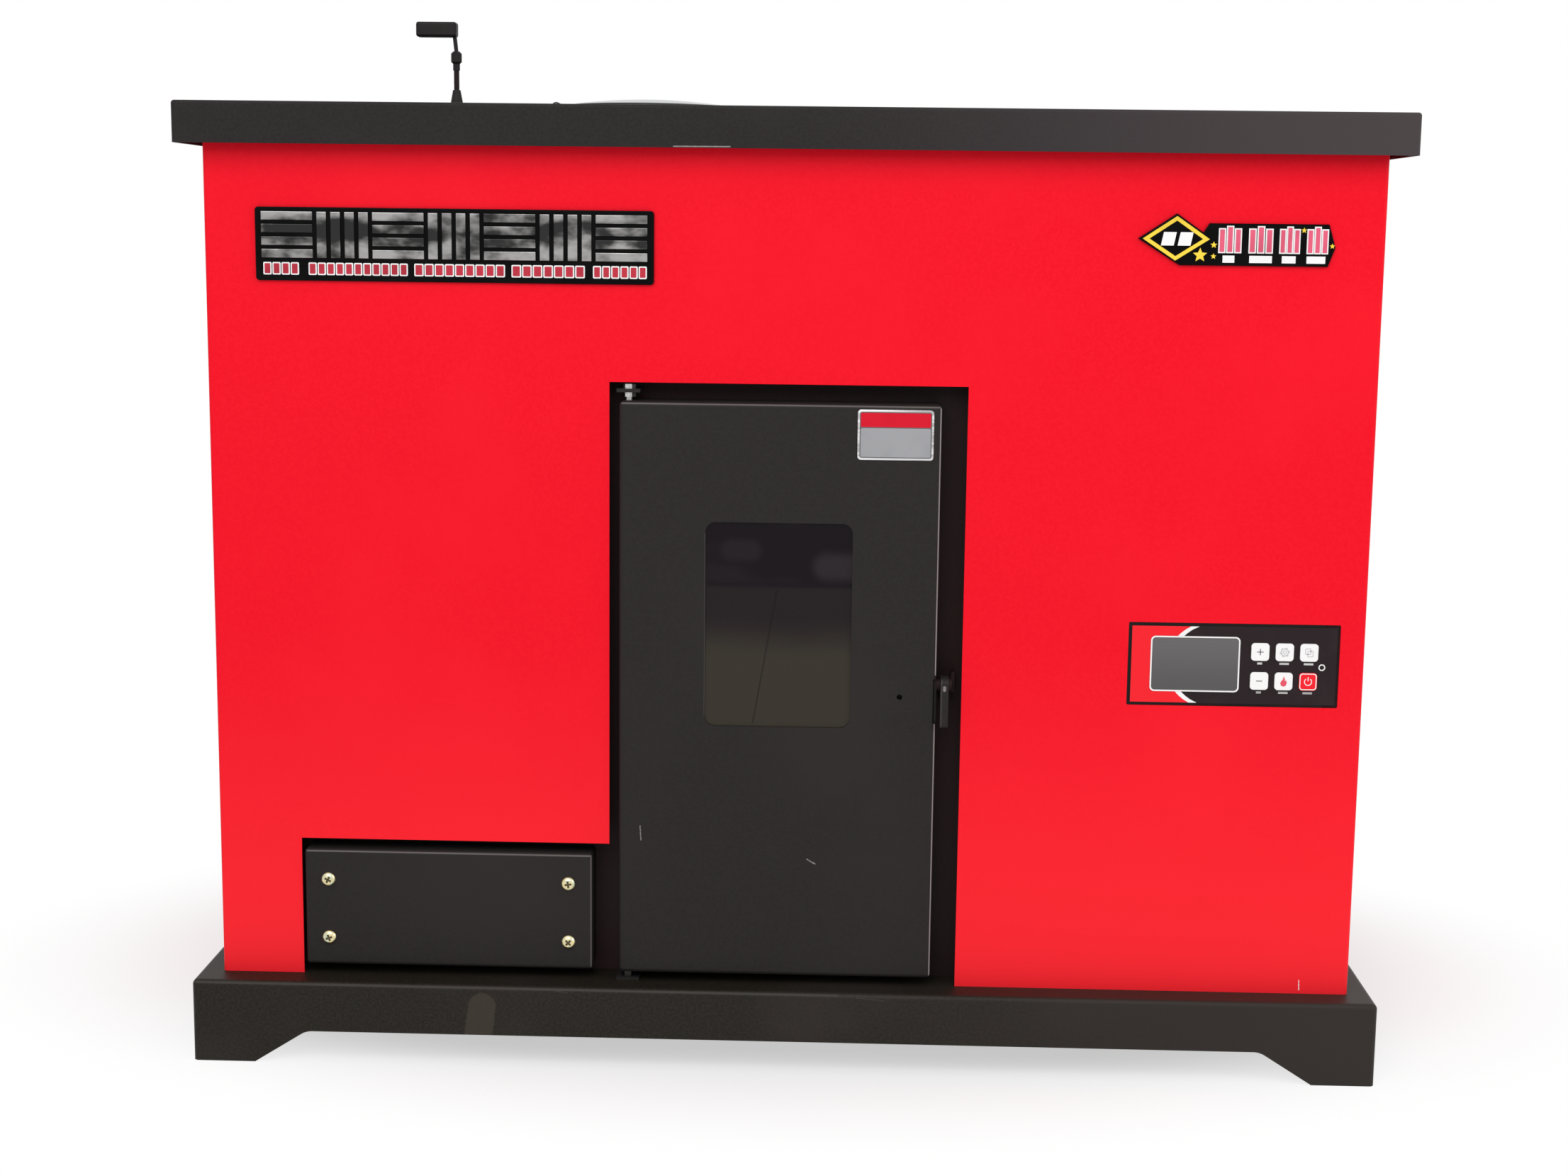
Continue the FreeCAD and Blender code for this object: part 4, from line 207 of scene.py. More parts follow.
def about(middle, size):
    """Span of a size about its middle."""
    return (middle - size / 2, middle + size / 2)


def grown(ends, amount):
    """Span that reaches further at both ends, or less far for an amount under nought."""
    return (ends[0] - amount, ends[1] + amount)


def between(ends, shares):
    """Places at shares of the way along a span."""
    return tuple(ends[0] + (ends[1] - ends[0]) * share for share in shares)


def front_spans(box):
    """Spans of a box in X and Z."""
    low, high = box
    return (low.x, high.x), (low.z, high.z)


def on_front(box, shares):
    """The (x, z) place at shares across and up the front of a box."""
    x_span, z_span = front_spans(box)
    return between(x_span, shares[:1]) + between(z_span, shares[1:])


# Shaders

ROUGH_NOISE = (0.3, 0.7)
STREAK_SOFT_SHARES = (0.5, 1.5)
RAGGED_NOISE = 700.0
RAGGED_START_SHARE = 1.2
RAGGED_FADE_SHARE = 0.35


class Shader:
    """A new material with short ways to add nodes in Object coordinates."""

    def __init__(self, **values):
        self.material = bpy.data.materials.new("finish")
        self.material.use_nodes = True
        tree = self.material.node_tree
        self.nodes, self.links = tree.nodes, tree.links
        self.surface = self.nodes["Principled BSDF"]
        self.place = self.nodes.new("ShaderNodeTexCoord").outputs["Object"]
        split = self.nodes.new("ShaderNodeSeparateXYZ")
        self.links.new(self.place, split.inputs[0])
        self.x, self.y, self.z = split.outputs
        for key, value in values.items():
            self.put(key.replace("_", " ").title().replace("Ior", "IOR"), value)

    def plug(self, value, socket):
        """Links a socket or sets a plain value."""
        if isinstance(value, bpy.types.NodeSocket):
            self.links.new(value, socket)
        elif hasattr(value, "__len__") and len(value) == 3 and len(socket.default_value) == 4:
            socket.default_value = (*value, 1.0)
        else:
            socket.default_value = value

    def put(self, name, value):
        """Sets an input of the surface shader."""
        self.plug(value, self.surface.inputs[name])

    def maths(self, operation, first, second=0.0):
        node = self.nodes.new("ShaderNodeMath")
        node.operation = operation
        self.plug(first, node.inputs[0])
        self.plug(second, node.inputs[1])
        return node.outputs[0]

    def vector(self, operation, first, second=(0.0, 0.0, 0.0)):
        node = self.nodes.new("ShaderNodeVectorMath")
        node.operation = operation
        self.plug(first, node.inputs[0])
        self.plug(second, node.inputs[3 if operation == "SCALE" else 1])
        return node.outputs[1 if operation in ("LENGTH", "DOT_PRODUCT") else 0]

    def mix(self, amount, first, second):
        node = self.nodes.new("ShaderNodeMix")
        node.data_type = "RGBA"
        self.plug(amount, node.inputs[0])
        self.plug(first, node.inputs[6])
        self.plug(second, node.inputs[7])
        return node.outputs[2]

    def ramp(self, value, low, high, start=0.0, stop=1.0):
        """Smooth step from one output to another between two inputs."""
        node = self.nodes.new("ShaderNodeMapRange")
        node.interpolation_type = "SMOOTHSTEP"
        for socket, number in zip(node.inputs, (value, low, high, start, stop)):
            self.plug(number, socket)
        return node.outputs[0]

    def noise(self, scale, detail, stretch=(1.0, 1.0, 1.0), offset=(0.0, 0.0, 0.0)):
        mapping = self.nodes.new("ShaderNodeMapping")
        self.links.new(self.place, mapping.inputs["Vector"])
        mapping.inputs["Scale"].default_value = stretch
        mapping.inputs["Location"].default_value = offset
        node = self.nodes.new("ShaderNodeTexNoise")
        self.links.new(mapping.outputs[0], node.inputs["Vector"])
        node.inputs["Scale"].default_value = scale
        node.inputs["Detail"].default_value = detail
        return node.outputs[0]

    def cells(self, scale):
        node = self.nodes.new("ShaderNodeTexVoronoi")
        self.links.new(self.place, node.inputs["Vector"])
        node.inputs["Scale"].default_value = scale
        return node.outputs["Color"]

    def waves(self, value, rate):
        """Sine of a value times a rate."""
        return self.maths("SINE", self.maths("MULTIPLY", value, rate))

    def bump(self, height, strength, depth):
        node = self.nodes.new("ShaderNodeBump")
        node.inputs["Strength"].default_value = strength
        node.inputs["Distance"].default_value = depth
        self.links.new(height, node.inputs["Height"])
        self.put("Normal", node.outputs[0])

    def roughen(self, noise, middle, spread):
        """Lets the roughness follow a noise about its middle."""
        self.put("Roughness", self.ramp(noise, *ROUGH_NOISE, middle - spread, middle + spread))

    def streak(self, start, stop, half_width, ragged=2.0):
        """Mask of a line between two (x, z) places, for scratches and painted highlights; a smooth line if it
        is not ragged.
        """
        first = Vector((start[0], 0.0, start[1]))
        along = Vector((stop[0], 0.0, stop[1])) - first
        flat_place = self.vector("MULTIPLY", self.place, (1.0, 0.0, 1.0))
        reach = self.vector("SUBTRACT", flat_place, first)
        part = self.vector("DOT_PRODUCT", reach, along / along.length_squared)
        part = self.maths("MINIMUM", self.maths("MAXIMUM", part, 0.0), 1.0)
        foot = self.vector("SCALE", along, part)
        distance = self.vector("LENGTH", self.vector("SUBTRACT", reach, foot))
        if not ragged:
            soft = [half_width * share for share in STREAK_SOFT_SHARES]
            return self.ramp(distance, *soft, start=1.0, stop=0.0)
        fray = half_width * ragged
        rough = self.maths("MULTIPLY", self.noise(RAGGED_NOISE, detail=3.0), fray)
        inside = half_width * RAGGED_START_SHARE
        outside = inside + fray * RAGGED_FADE_SHARE
        return self.ramp(self.maths("ADD", distance, rough), inside, outside, start=1.0, stop=0.0)


def scaled(tone, share):
    """A colour times a share."""
    return [part * share for part in tone]


# Marks on paint: two places as shares across and up the piece's front, half a width
# and, where it differs, how ragged the mark is.
DOOR_MARKS = (
    ((0.0681, 0.2645), (0.0707, 0.2393), 0.7 * MM),
    ((0.6000, 0.2110), (0.6272, 0.2024), 0.8 * MM),
)
# Painted highlight along the top cover's lower edge, in the scratch tone.
TOP_EDGE_HIGHLIGHT = (((0.4059, 0.0286), (0.4513, 0.0343), 0.6 * MM, 1.0),)
RED_MARKS = (((0.9567, 0.0160), (0.9571, 0.0041), 0.6 * MM),)
PLINTH_MARKS = (
    ((0.2474, 0.7432), (0.2440, 0.4054), 11.5 * MM, 0.4),
    ((0.3101, 0.9595), (0.3203, 0.9365), 0.8 * MM),
    ((0.5645, 0.9527), (0.5878, 0.9257), 0.7 * MM),
)


def marks_on(node, marks):
    """Marks of a node with their places in the frame."""
    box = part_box(node)
    return [(on_front(box, start), on_front(box, stop), *rest) for start, stop, *rest in marks]


EDGE_LINE = 0.6 * MM
EDGE_INSET = 1.0 * MM
TOP_EDGE_INSET = 2.0 * MM
EDGE_DEPTH_SHARES = (2.0, 4.0)
WINDOW_LAP = 10.0 * MM
WINDOW_CORNER = 20.0 * MM
WINDOW_LINE = 0.4 * MM
LATCH_LINE_LIFT = 2.0 * MM
LATCH_GLINT_DROPS = (6.0 * MM, 8.4 * MM)
LATCH_GLINT_LINE = 1.2 * MM
PLINTH_LINE = 0.9 * MM
PLINTH_LINE_SHARE = 0.548


def fold_edges():
    """Lines where the folds of the door, the access cover and the latch catch light."""
    tones = colours()
    glass_low, glass_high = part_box("door_glass")
    latch_low, latch_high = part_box("latch_lever")
    low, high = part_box("door_skin")
    right, top = high.x - EDGE_INSET, high.z - TOP_EDGE_INSET
    window = glass_low.x + WINDOW_LAP
    edges = [
        ((right, low.z + EDGE_INSET), (right, latch_low.z + LATCH_LINE_LIFT), EDGE_LINE, low.y,
         tones.bright_fold_highlight),
        ((right, latch_high.z + LATCH_LINE_LIFT), (right, top), EDGE_LINE, low.y, tones.bright_fold_highlight),
        ((low.x + TOP_EDGE_INSET, top), (right, top), EDGE_LINE, low.y, tones.soft_edge),
        ((window, glass_low.z + WINDOW_CORNER), (window, glass_high.z - WINDOW_CORNER), WINDOW_LINE, low.y,
         tones.window_edge_highlight),
    ]
    low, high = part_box("access_cover")
    right, top = high.x - EDGE_INSET, high.z - TOP_EDGE_INSET
    edges += [
        ((right, low.z), (right, top), EDGE_LINE, low.y, tones.soft_edge),
        ((low.x + TOP_EDGE_INSET, top), (right, top), EDGE_LINE, low.y, tones.soft_edge),
    ]
    left, top = latch_low.x + EDGE_INSET, latch_high.z - TOP_EDGE_INSET
    middle = (latch_low.x + latch_high.x) / 2
    glint = [(middle, top - drop) for drop in LATCH_GLINT_DROPS]
    edges += [
        ((left, latch_low.z), (left, top), EDGE_LINE, latch_low.y, tones.latch_edge_highlight),
        (*glint, LATCH_GLINT_LINE, latch_low.y, tones.latch_glint),
    ]
    return edges


def plinth_edges():
    """Line where the fold of the plinth catches light."""
    low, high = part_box("plinth")
    level = high.z - TOP_EDGE_INSET
    stop, = between((low.x, high.x), [PLINTH_LINE_SHARE])
    return [((low.x + TOP_EDGE_INSET, level), (stop, level), PLINTH_LINE, low.y, colours().plinth_fold_highlight)]


# Heights of the painted light that makes the paint paler low down.
PAINTED_LIGHT_HEIGHTS = (0.05, 0.42)
SHEEN_SPAN = (-0.05, 0.55)
MOTTLE_SHARE = 0.5


def painted(tone, worn, roughness, specular, grain, depth, marks=(), mark_tone=None, low=None, sheen=None,
            edges=()):
    """Powder coat: fine grain, soft patches, scratches and painted highlights at given places, folds that
    catch light.
    """
    shader = Shader(specular_ior_level=specular)
    base = shader.mix(shader.ramp(shader.noise(5.0, detail=4.0), 0.45, 0.75), tone, worn)
    mottle = shader.ramp(shader.noise(420.0, detail=3.0), 0.35, 0.65, stop=MOTTLE_SHARE)
    base = shader.mix(mottle, base, worn)
    # Painted light: paler paint towards the floor.
    if low is not None:
        base = shader.mix(shader.ramp(shader.z, *PAINTED_LIGHT_HEIGHTS), low, base)
    # Painted sheen: lighter towards the right end.
    if sheen is not None:
        base = shader.mix(shader.ramp(shader.x, *SHEEN_SPAN), base, sheen)
    # Scratches and scuffs, and on the top cover a painted highlight.
    for mark in marks:
        base = shader.mix(shader.streak(*mark), base, mark_tone)
    # Painted highlights along folds and edges, on the front face only.
    for start, stop, half_width, front, edge_tone in edges:
        depths = [front + half_width * share for share in EDGE_DEPTH_SHARES]
        near = shader.ramp(shader.y, *depths, start=1.0, stop=0.0)
        line = shader.maths("MULTIPLY", shader.streak(start, stop, half_width, ragged=0.0), near)
        base = shader.mix(line, base, edge_tone)
    shader.put("Base Color", base)
    fine = shader.noise(grain, detail=3.0)
    shader.roughen(fine, roughness, spread=0.06)
    shader.bump(fine, strength=0.35, depth=depth)
    return shader.material


ALONG_X = (0.04, 1.0, 1.0)
ALONG_Y = (1.0, 0.04, 1.0)
EVEN = (1.0, 1.0, 1.0)
METAL_LINE_DEPTH = 0.1 * MM
PAINTED_SHADE_HEIGHTS = (0.2, 0.4)


def metal(tone, dull, roughness, stretch, scale, low=None):
    """Drawn or turned metal with fine lines; it can have painted shade near the floor."""
    shader = Shader(metallic=1.0)
    lines = shader.noise(scale, detail=4.0, stretch=stretch)
    base = shader.mix(shader.ramp(lines, 0.35, 0.65), tone, dull)
    # Painted shade low down.
    if low is not None:
        base = shader.mix(shader.ramp(shader.z, *PAINTED_SHADE_HEIGHTS), low, base)
    shader.put("Base Color", base)
    shader.roughen(shader.noise(40.0, detail=3.0), roughness, spread=0.07)
    shader.bump(lines, strength=0.12, depth=METAL_LINE_DEPTH)
    return shader.material


def spangled(tone):
    """Zinc-coated sheet with a faint spangle."""
    shader = Shader(metallic=0.9)
    shader.put("Base Color", shader.mix(shader.cells(70.0), tone, scaled(tone, 0.72)))
    shader.roughen(shader.noise(55.0, detail=2.0), middle=0.43, spread=0.09)
    return shader.material


SOOT_DEPTH = 0.3 * MM


def sooted(plate, soot, roughness, scale):
    """Bare plate or casting with soot and a rough skin."""
    shader = Shader(metallic=0.35, specular_ior_level=0.25)
    patches = shader.ramp(shader.noise(6.0, detail=5.0), 0.35, 0.62)
    shader.put("Base Color", shader.mix(patches, plate, soot))
    grain = shader.noise(scale, detail=4.0)
    shader.roughen(grain, roughness, spread=0.08)
    shader.bump(grain, strength=0.4, depth=SOOT_DEPTH)
    return shader.material


def plastic(tone, roughness, specular, worn_share):
    """Moulded or printed plastic with faint handling marks."""
    shader = Shader(specular_ior_level=specular)
    marks = shader.ramp(shader.noise(28.0, detail=4.0), 0.45, 0.7)
    shader.put("Base Color", shader.mix(marks, tone, scaled(tone, worn_share)))
    smears = shader.noise(60.0, detail=4.0)
    shader.put("Roughness", shader.ramp(smears, 0.35, 0.7, roughness - 0.04, roughness + 0.06))
    return shader.material


# Reflections and lines in the window: two places as shares across and up the glass, half a width
# and the strength.
GLASS_GLINTS = (
    ((0.2211, 0.8276), (0.3347, 0.8276), 9.0 * MM, 0.48),
    ((0.7803, 0.7588), (0.9252, 0.7588), 11.0 * MM, 1.0),
)
# Painted reflections: dark lines reflected in the glass.
GLASS_DARK_REFLECTIONS = (
    ((0.4912, 0.6553), (0.3558, 0.0668), 0.8 * MM, 0.45),
    ((0.1014, 0.6774), (0.9197, 0.6754), 1.3 * MM, 0.6),
    ((0.4626, 0.9085), (0.4571, 0.7638), 2.4 * MM, 0.7),
)
GLASS_REFLECTED_EDGE = 34.0 * MM
GLASS_REFLECTED_EDGE_BLUR = 8.0 * MM
GLASS_HAZE = (-24.0 * MM, 20.0 * MM)
GLASS_WAVE = 24.0 * MM


def window_glass():
    """Dark window: vague painted reflections above, a grey painted reflection across the middle, an olive
    haze below.
    """
    tones = colours()
    low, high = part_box("door_glass")
    middle = (low.z + high.z) / 2
    shader = Shader(roughness=0.07, specular_ior_level=0.12, coat_weight=0.0, alpha=0.94)
    blobs = shader.noise(13.0, detail=2.0, stretch=(0.8, 1.0, 2.2), offset=(0.35, 0.0, 0.6))
    base = shader.mix(shader.ramp(blobs, 0.48, 0.68, stop=0.3), tones.glass_high, tones.glass_glint)
    # Painted reflection: a grey band below a reflected dark line.
    reflected_edge = shader.ramp(shader.z, *about(middle + GLASS_REFLECTED_EDGE, GLASS_REFLECTED_EDGE_BLUR))
    base = shader.mix(reflected_edge, tones.glass_mid_reflection, base)
    wave = shader.maths("MULTIPLY", shader.noise(7.0, detail=3.0), GLASS_WAVE)
    height = shader.maths("ADD", shader.z, wave)
    haze = shader.ramp(height, *(middle + rise for rise in GLASS_HAZE))
    base = shader.mix(haze, tones.glass_low, base)
    for tone, marks in ((tones.glass_glint, GLASS_GLINTS), (tones.glass_high, GLASS_DARK_REFLECTIONS)):
        for start, stop, half_width, strength in marks_on("door_glass", marks):
            line = shader.streak(start, stop, half_width, ragged=0.0)
            base = shader.mix(shader.maths("MULTIPLY", line, strength), base, tone)
    shader.put("Base Color", base)
    return shader.material


STRAND_RATE = 1500.0
STRAND_DEPTH = 0.5 * MM


def braided(tone):
    """Woven rope with slanted strands."""
    shader = Shader(specular_ior_level=0.1, roughness=0.9)
    strand = shader.waves(shader.maths("ADD", shader.x, shader.z), STRAND_RATE)
    shader.put("Base Color", shader.mix(shader.ramp(strand, -1.0, 0.4), scaled(tone, 0.6), tone))
    shader.bump(strand, strength=0.6, depth=STRAND_DEPTH)
    return shader.material


def plated():
    """Yellow zinc plating with a green cast."""
    tones = colours()
    shader = Shader(metallic=1.0)
    cast = shader.ramp(shader.noise(260.0, detail=3.0), 0.4, 0.62)
    shader.put("Base Color", shader.mix(cast, tones.yellow_zinc, tones.green_zinc))
    shader.roughen(shader.noise(400.0, detail=2.0), middle=0.24, spread=0.08)
    return shader.material


def chromed():
    """Chromed plastic that mirrors light and dark parts of a room."""
    tones = colours()
    shader = Shader(metallic=1.0, roughness=0.12)
    room = shader.noise(30.0, detail=3.0, stretch=(1.0, 1.0, 1.8))
    tilt = shader.maths("MULTIPLY", shader.waves(shader.z, 170.0), 0.12)
    light = shader.ramp(shader.maths("ADD", room, tilt), 0.40, 0.68)
    shader.put("Base Color", shader.mix(light, tones.chrome_dark, tones.chrome))
    return shader.material


ROW_RATE = 5200.0
ROW_SHARE = 0.18


def display_rows():
    """Grey display, darker low down, with fine rows."""
    tones = colours()
    low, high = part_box("display_glass")
    shader = Shader(roughness=0.22, specular_ior_level=0.2)
    base = shader.mix(shader.ramp(shader.z, low.z, high.z), tones.lcd_low, tones.lcd)
    rows = shader.ramp(shader.waves(shader.z, ROW_RATE), -1.0, 1.0, stop=ROW_SHARE)
    shader.put("Base Color", shader.mix(rows, base, tones.lcd_low))
    return shader.material


LID_RIM_SHARE = 0.63
LID_RIM_BLUR = 0.6 * MM


def pressed_lid():
    """Pressed lid: bright crown over a dark rim."""
    tones = colours()
    low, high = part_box("fill_lid")
    shader = Shader()
    rim, = between((low.z, high.z), [LID_RIM_SHARE])
    crown = shader.ramp(shader.z, rim, rim + LID_RIM_BLUR)
    lines = shader.noise(30.0, detail=4.0, stretch=(1.0, 6.0, 1.0))
    bright = shader.mix(shader.ramp(lines, 0.35, 0.65), tones.lid, tones.zinc)
    shader.put("Base Color", shader.mix(crown, tones.black, bright))
    shader.put("Metallic", crown)
    shader.roughen(lines, middle=0.42, spread=0.08)
    return shader.material


def make_finishes():
    """Materials by name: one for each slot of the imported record, and those of the added pieces."""
    tones = colours()
    steel = {"tone": tones.steel, "dull": scaled(tones.steel, 0.7), "roughness": 0.3,
             "stretch": ALONG_Y, "scale": 500.0}
    coat = {"roughness": 0.55, "specular": 0.15, "grain": 1500.0, "depth": 0.12 * MM,
            "mark_tone": tones.scratch}
    finishes = {
        "red_paint": painted(
            tones.red, tones.red_worn, roughness=0.42, specular=0.08, grain=900.0, depth=0.05 * MM,
            marks=marks_on("front_panel", RED_MARKS), mark_tone=tones.white, low=tones.red_lit_low),
        "black_paint": painted(
            tones.black, tones.black_worn, marks=marks_on("door_skin", DOOR_MARKS), edges=fold_edges(),
            **coat),
        # Top cover: a darker copy of the black paint as painted shade, a painted sheen at its right end and a
        # painted highlight on its lower edge.
        "top_shade_and_sheen_paint": painted(
            tones.shaded_top_black, tones.black_worn, marks=marks_on("top_cover", TOP_EDGE_HIGHLIGHT), sheen=tones.top_sheen,
            **coat),
        # Plinth: its worn tone is also the painted sheen at its right end.
        "plinth_paint": painted(
            tones.plinth, tones.plinth_worn_and_sheen, roughness=0.5, specular=0.18, grain=1500.0, depth=0.12 * MM,
            marks=marks_on("plinth", PLINTH_MARKS), mark_tone=tones.scuff, sheen=tones.plinth_worn_and_sheen,
            edges=plinth_edges()),
        # Plates in the recesses: dark paint, its reddish tone partly a painted reflection of the red panels.
        "black_steel": painted(
            tones.recess, tones.black, roughness=0.6, specular=0.12, grain=900.0, depth=0.15 * MM),
        "galvanised": spangled(tones.zinc),
        "boiler_steel": sooted(tones.boiler, tones.soot, roughness=0.62, scale=260.0),
        "bright_steel": metal(**steel),
        # The lower hinge pin gets painted shade.
        "hinge_steel": metal(**steel, low=tones.steel_in_shade),
        "cast_iron": sooted(tones.iron, tones.soot, roughness=0.72, scale=420.0),
        "yellow_zinc": plated(),
        "motor_metal": metal(
            tones.alloy, scaled(tones.alloy, 0.8), roughness=0.45, stretch=EVEN, scale=300.0),
        "label_metal": metal(tones.white, tones.chrome, roughness=0.35, stretch=ALONG_X, scale=300.0),
        "window_glass": window_glass(),
        "rope": braided(tones.rope),
        "lid_steel": pressed_lid(),
        "lcd": display_rows(),
        "chrome": chromed(),
    }
    # Name, colour, roughness, specular level and the worn colour's share of the plain one.
    plastics = (
        ("gloss_black", tones.gloss, 0.14, 0.05, 1.8),
        ("matt_black", scaled(tones.black, 0.8), 0.5, 0.15, 1.3),
        ("overlay", tones.overlay, 0.16, 0.07, 1.25),
        ("white_plastic", tones.white, 0.34, 0.2, 0.95),
        ("red_plastic", tones.print_red, 0.34, 0.07, 0.93),
        ("stripe", tones.stripe, 0.3, 0.15, 0.75),
        ("yellow", tones.yellow, 0.35, 0.15, 0.8),
        ("pink", tones.pink, 0.35, 0.12, 0.8),
        ("label_grey", tones.label_grey, 0.4, 0.15, 0.9),
        ("label_red", tones.label_red, 0.4, 0.08, 0.9),
        ("grey_sign", tones.grey_sign, 0.4, 0.15, 0.9),
        ("dark_sign", tones.dark_sign, 0.4, 0.15, 0.9),
        ("flame_sign", tones.flame_sign, 0.4, 0.1, 0.9),
        # Painted shade in the screws' cross recesses: a darker copy of the zinc.
        ("screw_recess", scaled(tones.yellow_zinc, 0.2), 0.5, 0.15, 0.5),
    )
    for name, *values in plastics:
        finishes[name] = plastic(*values)
    for name, material in finishes.items():
        material.name = FINISH_PREFIX + name
    return finishes


def use(name):
    """A material made earlier, by name."""
    material = bpy.data.materials.get(FINISH_PREFIX + name)
    if material is None:
        raise RuntimeError(f"material {name} is missing: paint the frame first")
    return material


# Nodes whose finish differs from their slot's.
NODE_FINISHES = {
    "top_cover": "top_shade_and_sheen_paint",
    "hinge_brackets": "black_paint",
    "hinge_pins": "hinge_steel",
}


class BOILER_OT_paint_frame(bpy.types.Operator):
    """Makes the materials and puts them on the CAD frame by record slot"""

    bl_idname = "boiler.paint_frame"
    bl_label = "Paint frame"

    def execute(self, context):
        finishes = make_finishes()
        for entry in frame["record"]["subparts"]:
            node = frame["nodes"][entry["node"]]
            node.data.materials.clear()
            node.data.materials.append(finishes[NODE_FINISHES.get(entry["node"], entry["material_slot"])])
        return {"FINISHED"}


# Mesh helpers

BEVEL_STEPS = 3
CORNER_STEPS = 6
DISC_STEPS = 32


def make_piece(name, mesh, materials, body, stands_for=(), sharp=FLAT_ANGLE):
    """Turns a bmesh into a piece that rides on a CAD body."""
    bmesh.ops.recalc_face_normals(mesh, faces=mesh.faces)
    for face in mesh.faces:
        face.smooth = True
    for edge in mesh.edges:
        edge.smooth = len(edge.link_faces) == 2 and edge.calc_face_angle(math.pi) < sharp
    data = bpy.data.meshes.new(name)
    mesh.to_mesh(data)
    mesh.free()
    piece = bpy.data.objects.new(name, data)
    bpy.context.scene.collection.objects.link(piece)
    for material in materials:
        data.materials.append(use(material))
    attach(piece, body)
    if stands_for:
        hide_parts(*stands_for)
    return piece


def flat(mesh, outline, level):
    """Flat face across Y from an outline of (x, z) places."""
    return mesh.faces.new([mesh.verts.new((x, level, z)) for x, z in outline])


def rectangle(mesh, x, z, level, lean=0.0):
    """Flat rectangle between two spans; it can lean to the right by a share of its height."""
    shift = (z[1] - z[0]) * lean
    return flat(mesh, ((x[0], z[0]), (x[1], z[0]), (x[1] + shift, z[1]), (x[0] + shift, z[1])), level)


def rounded(mesh, x, z, level, radius, steps=CORNER_STEPS):
    """Flat rectangle between two spans with round corners."""
    corners = list(rectangle(mesh, x, z, level).verts)
    made = bmesh.ops.bevel(mesh, geom=corners, offset=radius, segments=steps, profile=0.5,
                           affect="VERTICES", material=-1)
    return made["verts"][0].link_faces[0]


def disc(mesh, x, z, level, radius, steps=DISC_STEPS):
    """Flat round face."""
    stand = Matrix.Translation((x, level, z)) @ Matrix.Rotation(QUARTER_TURN, 4, "X")
    made = bmesh.ops.create_circle(mesh, cap_ends=True, segments=steps, radius=radius, matrix=stand)
    return made["verts"][0].link_faces[0]


def raise_faces(mesh, faces, front, index):
    """Extrudes flat faces along Y to a closed solid and returns the faces that moved."""
    rise = front - faces[0].verts[0].co.y
    grown_parts = bmesh.ops.extrude_face_region(mesh, geom=faces)["geom"]
    verts = [item for item in grown_parts if isinstance(item, bmesh.types.BMVert)]
    bmesh.ops.translate(mesh, verts=verts, vec=(0.0, rise, 0.0))
    for face in set(faces).union(*(vert.link_faces for vert in verts)):
        face.material_index = index
    return [item for item in grown_parts if isinstance(item, bmesh.types.BMFace)]


def slab(mesh, face, front, index=0, bevel=0.0):
    """Raises a flat face to a level in front of it; its front edges can be bevelled."""
    cap, = raise_faces(mesh, [face], front, index)
    if bevel:
        bmesh.ops.bevel(mesh, geom=list(cap.edges), offset=bevel, segments=BEVEL_STEPS, profile=0.5,
                        affect="EDGES", material=-1)


def ring_slab(mesh, outside, inside, front, index=0):
    """Raises the band between two flat faces to a level in front of them."""
    edges = list(outside.edges) + list(inside.edges)
    bmesh.ops.delete(mesh, geom=[outside, inside], context="FACES_ONLY")
    band = bmesh.ops.bridge_loops(mesh, edges=edges)["faces"]
    raise_faces(mesh, band, front, index)


# Screws

HEAD_RINGS = 22
HEAD_STEPS = 64
DOME_SHARE = 0.62
HEAD_SEAT = 0.1 * MM
MERGE_DISTANCE = 0.01 * MM
CROSS_SOFT_SHARE = 0.22
CROSS_FACE_SHARE = 0.3


def cross_mask(u, v, width, reach):
    """Nought outside a cross recess, one inside it, soft at the edge."""
    soft = width * CROSS_SOFT_SHARE
    mask = 0.0
    for along, across in ((u, v), (v, u)):
        side = (width / 2 - abs(across)) / soft
        end = (reach - abs(along)) / soft
        mask = max(mask, min(1.0, max(0.0, min(side, end))))
    return mask


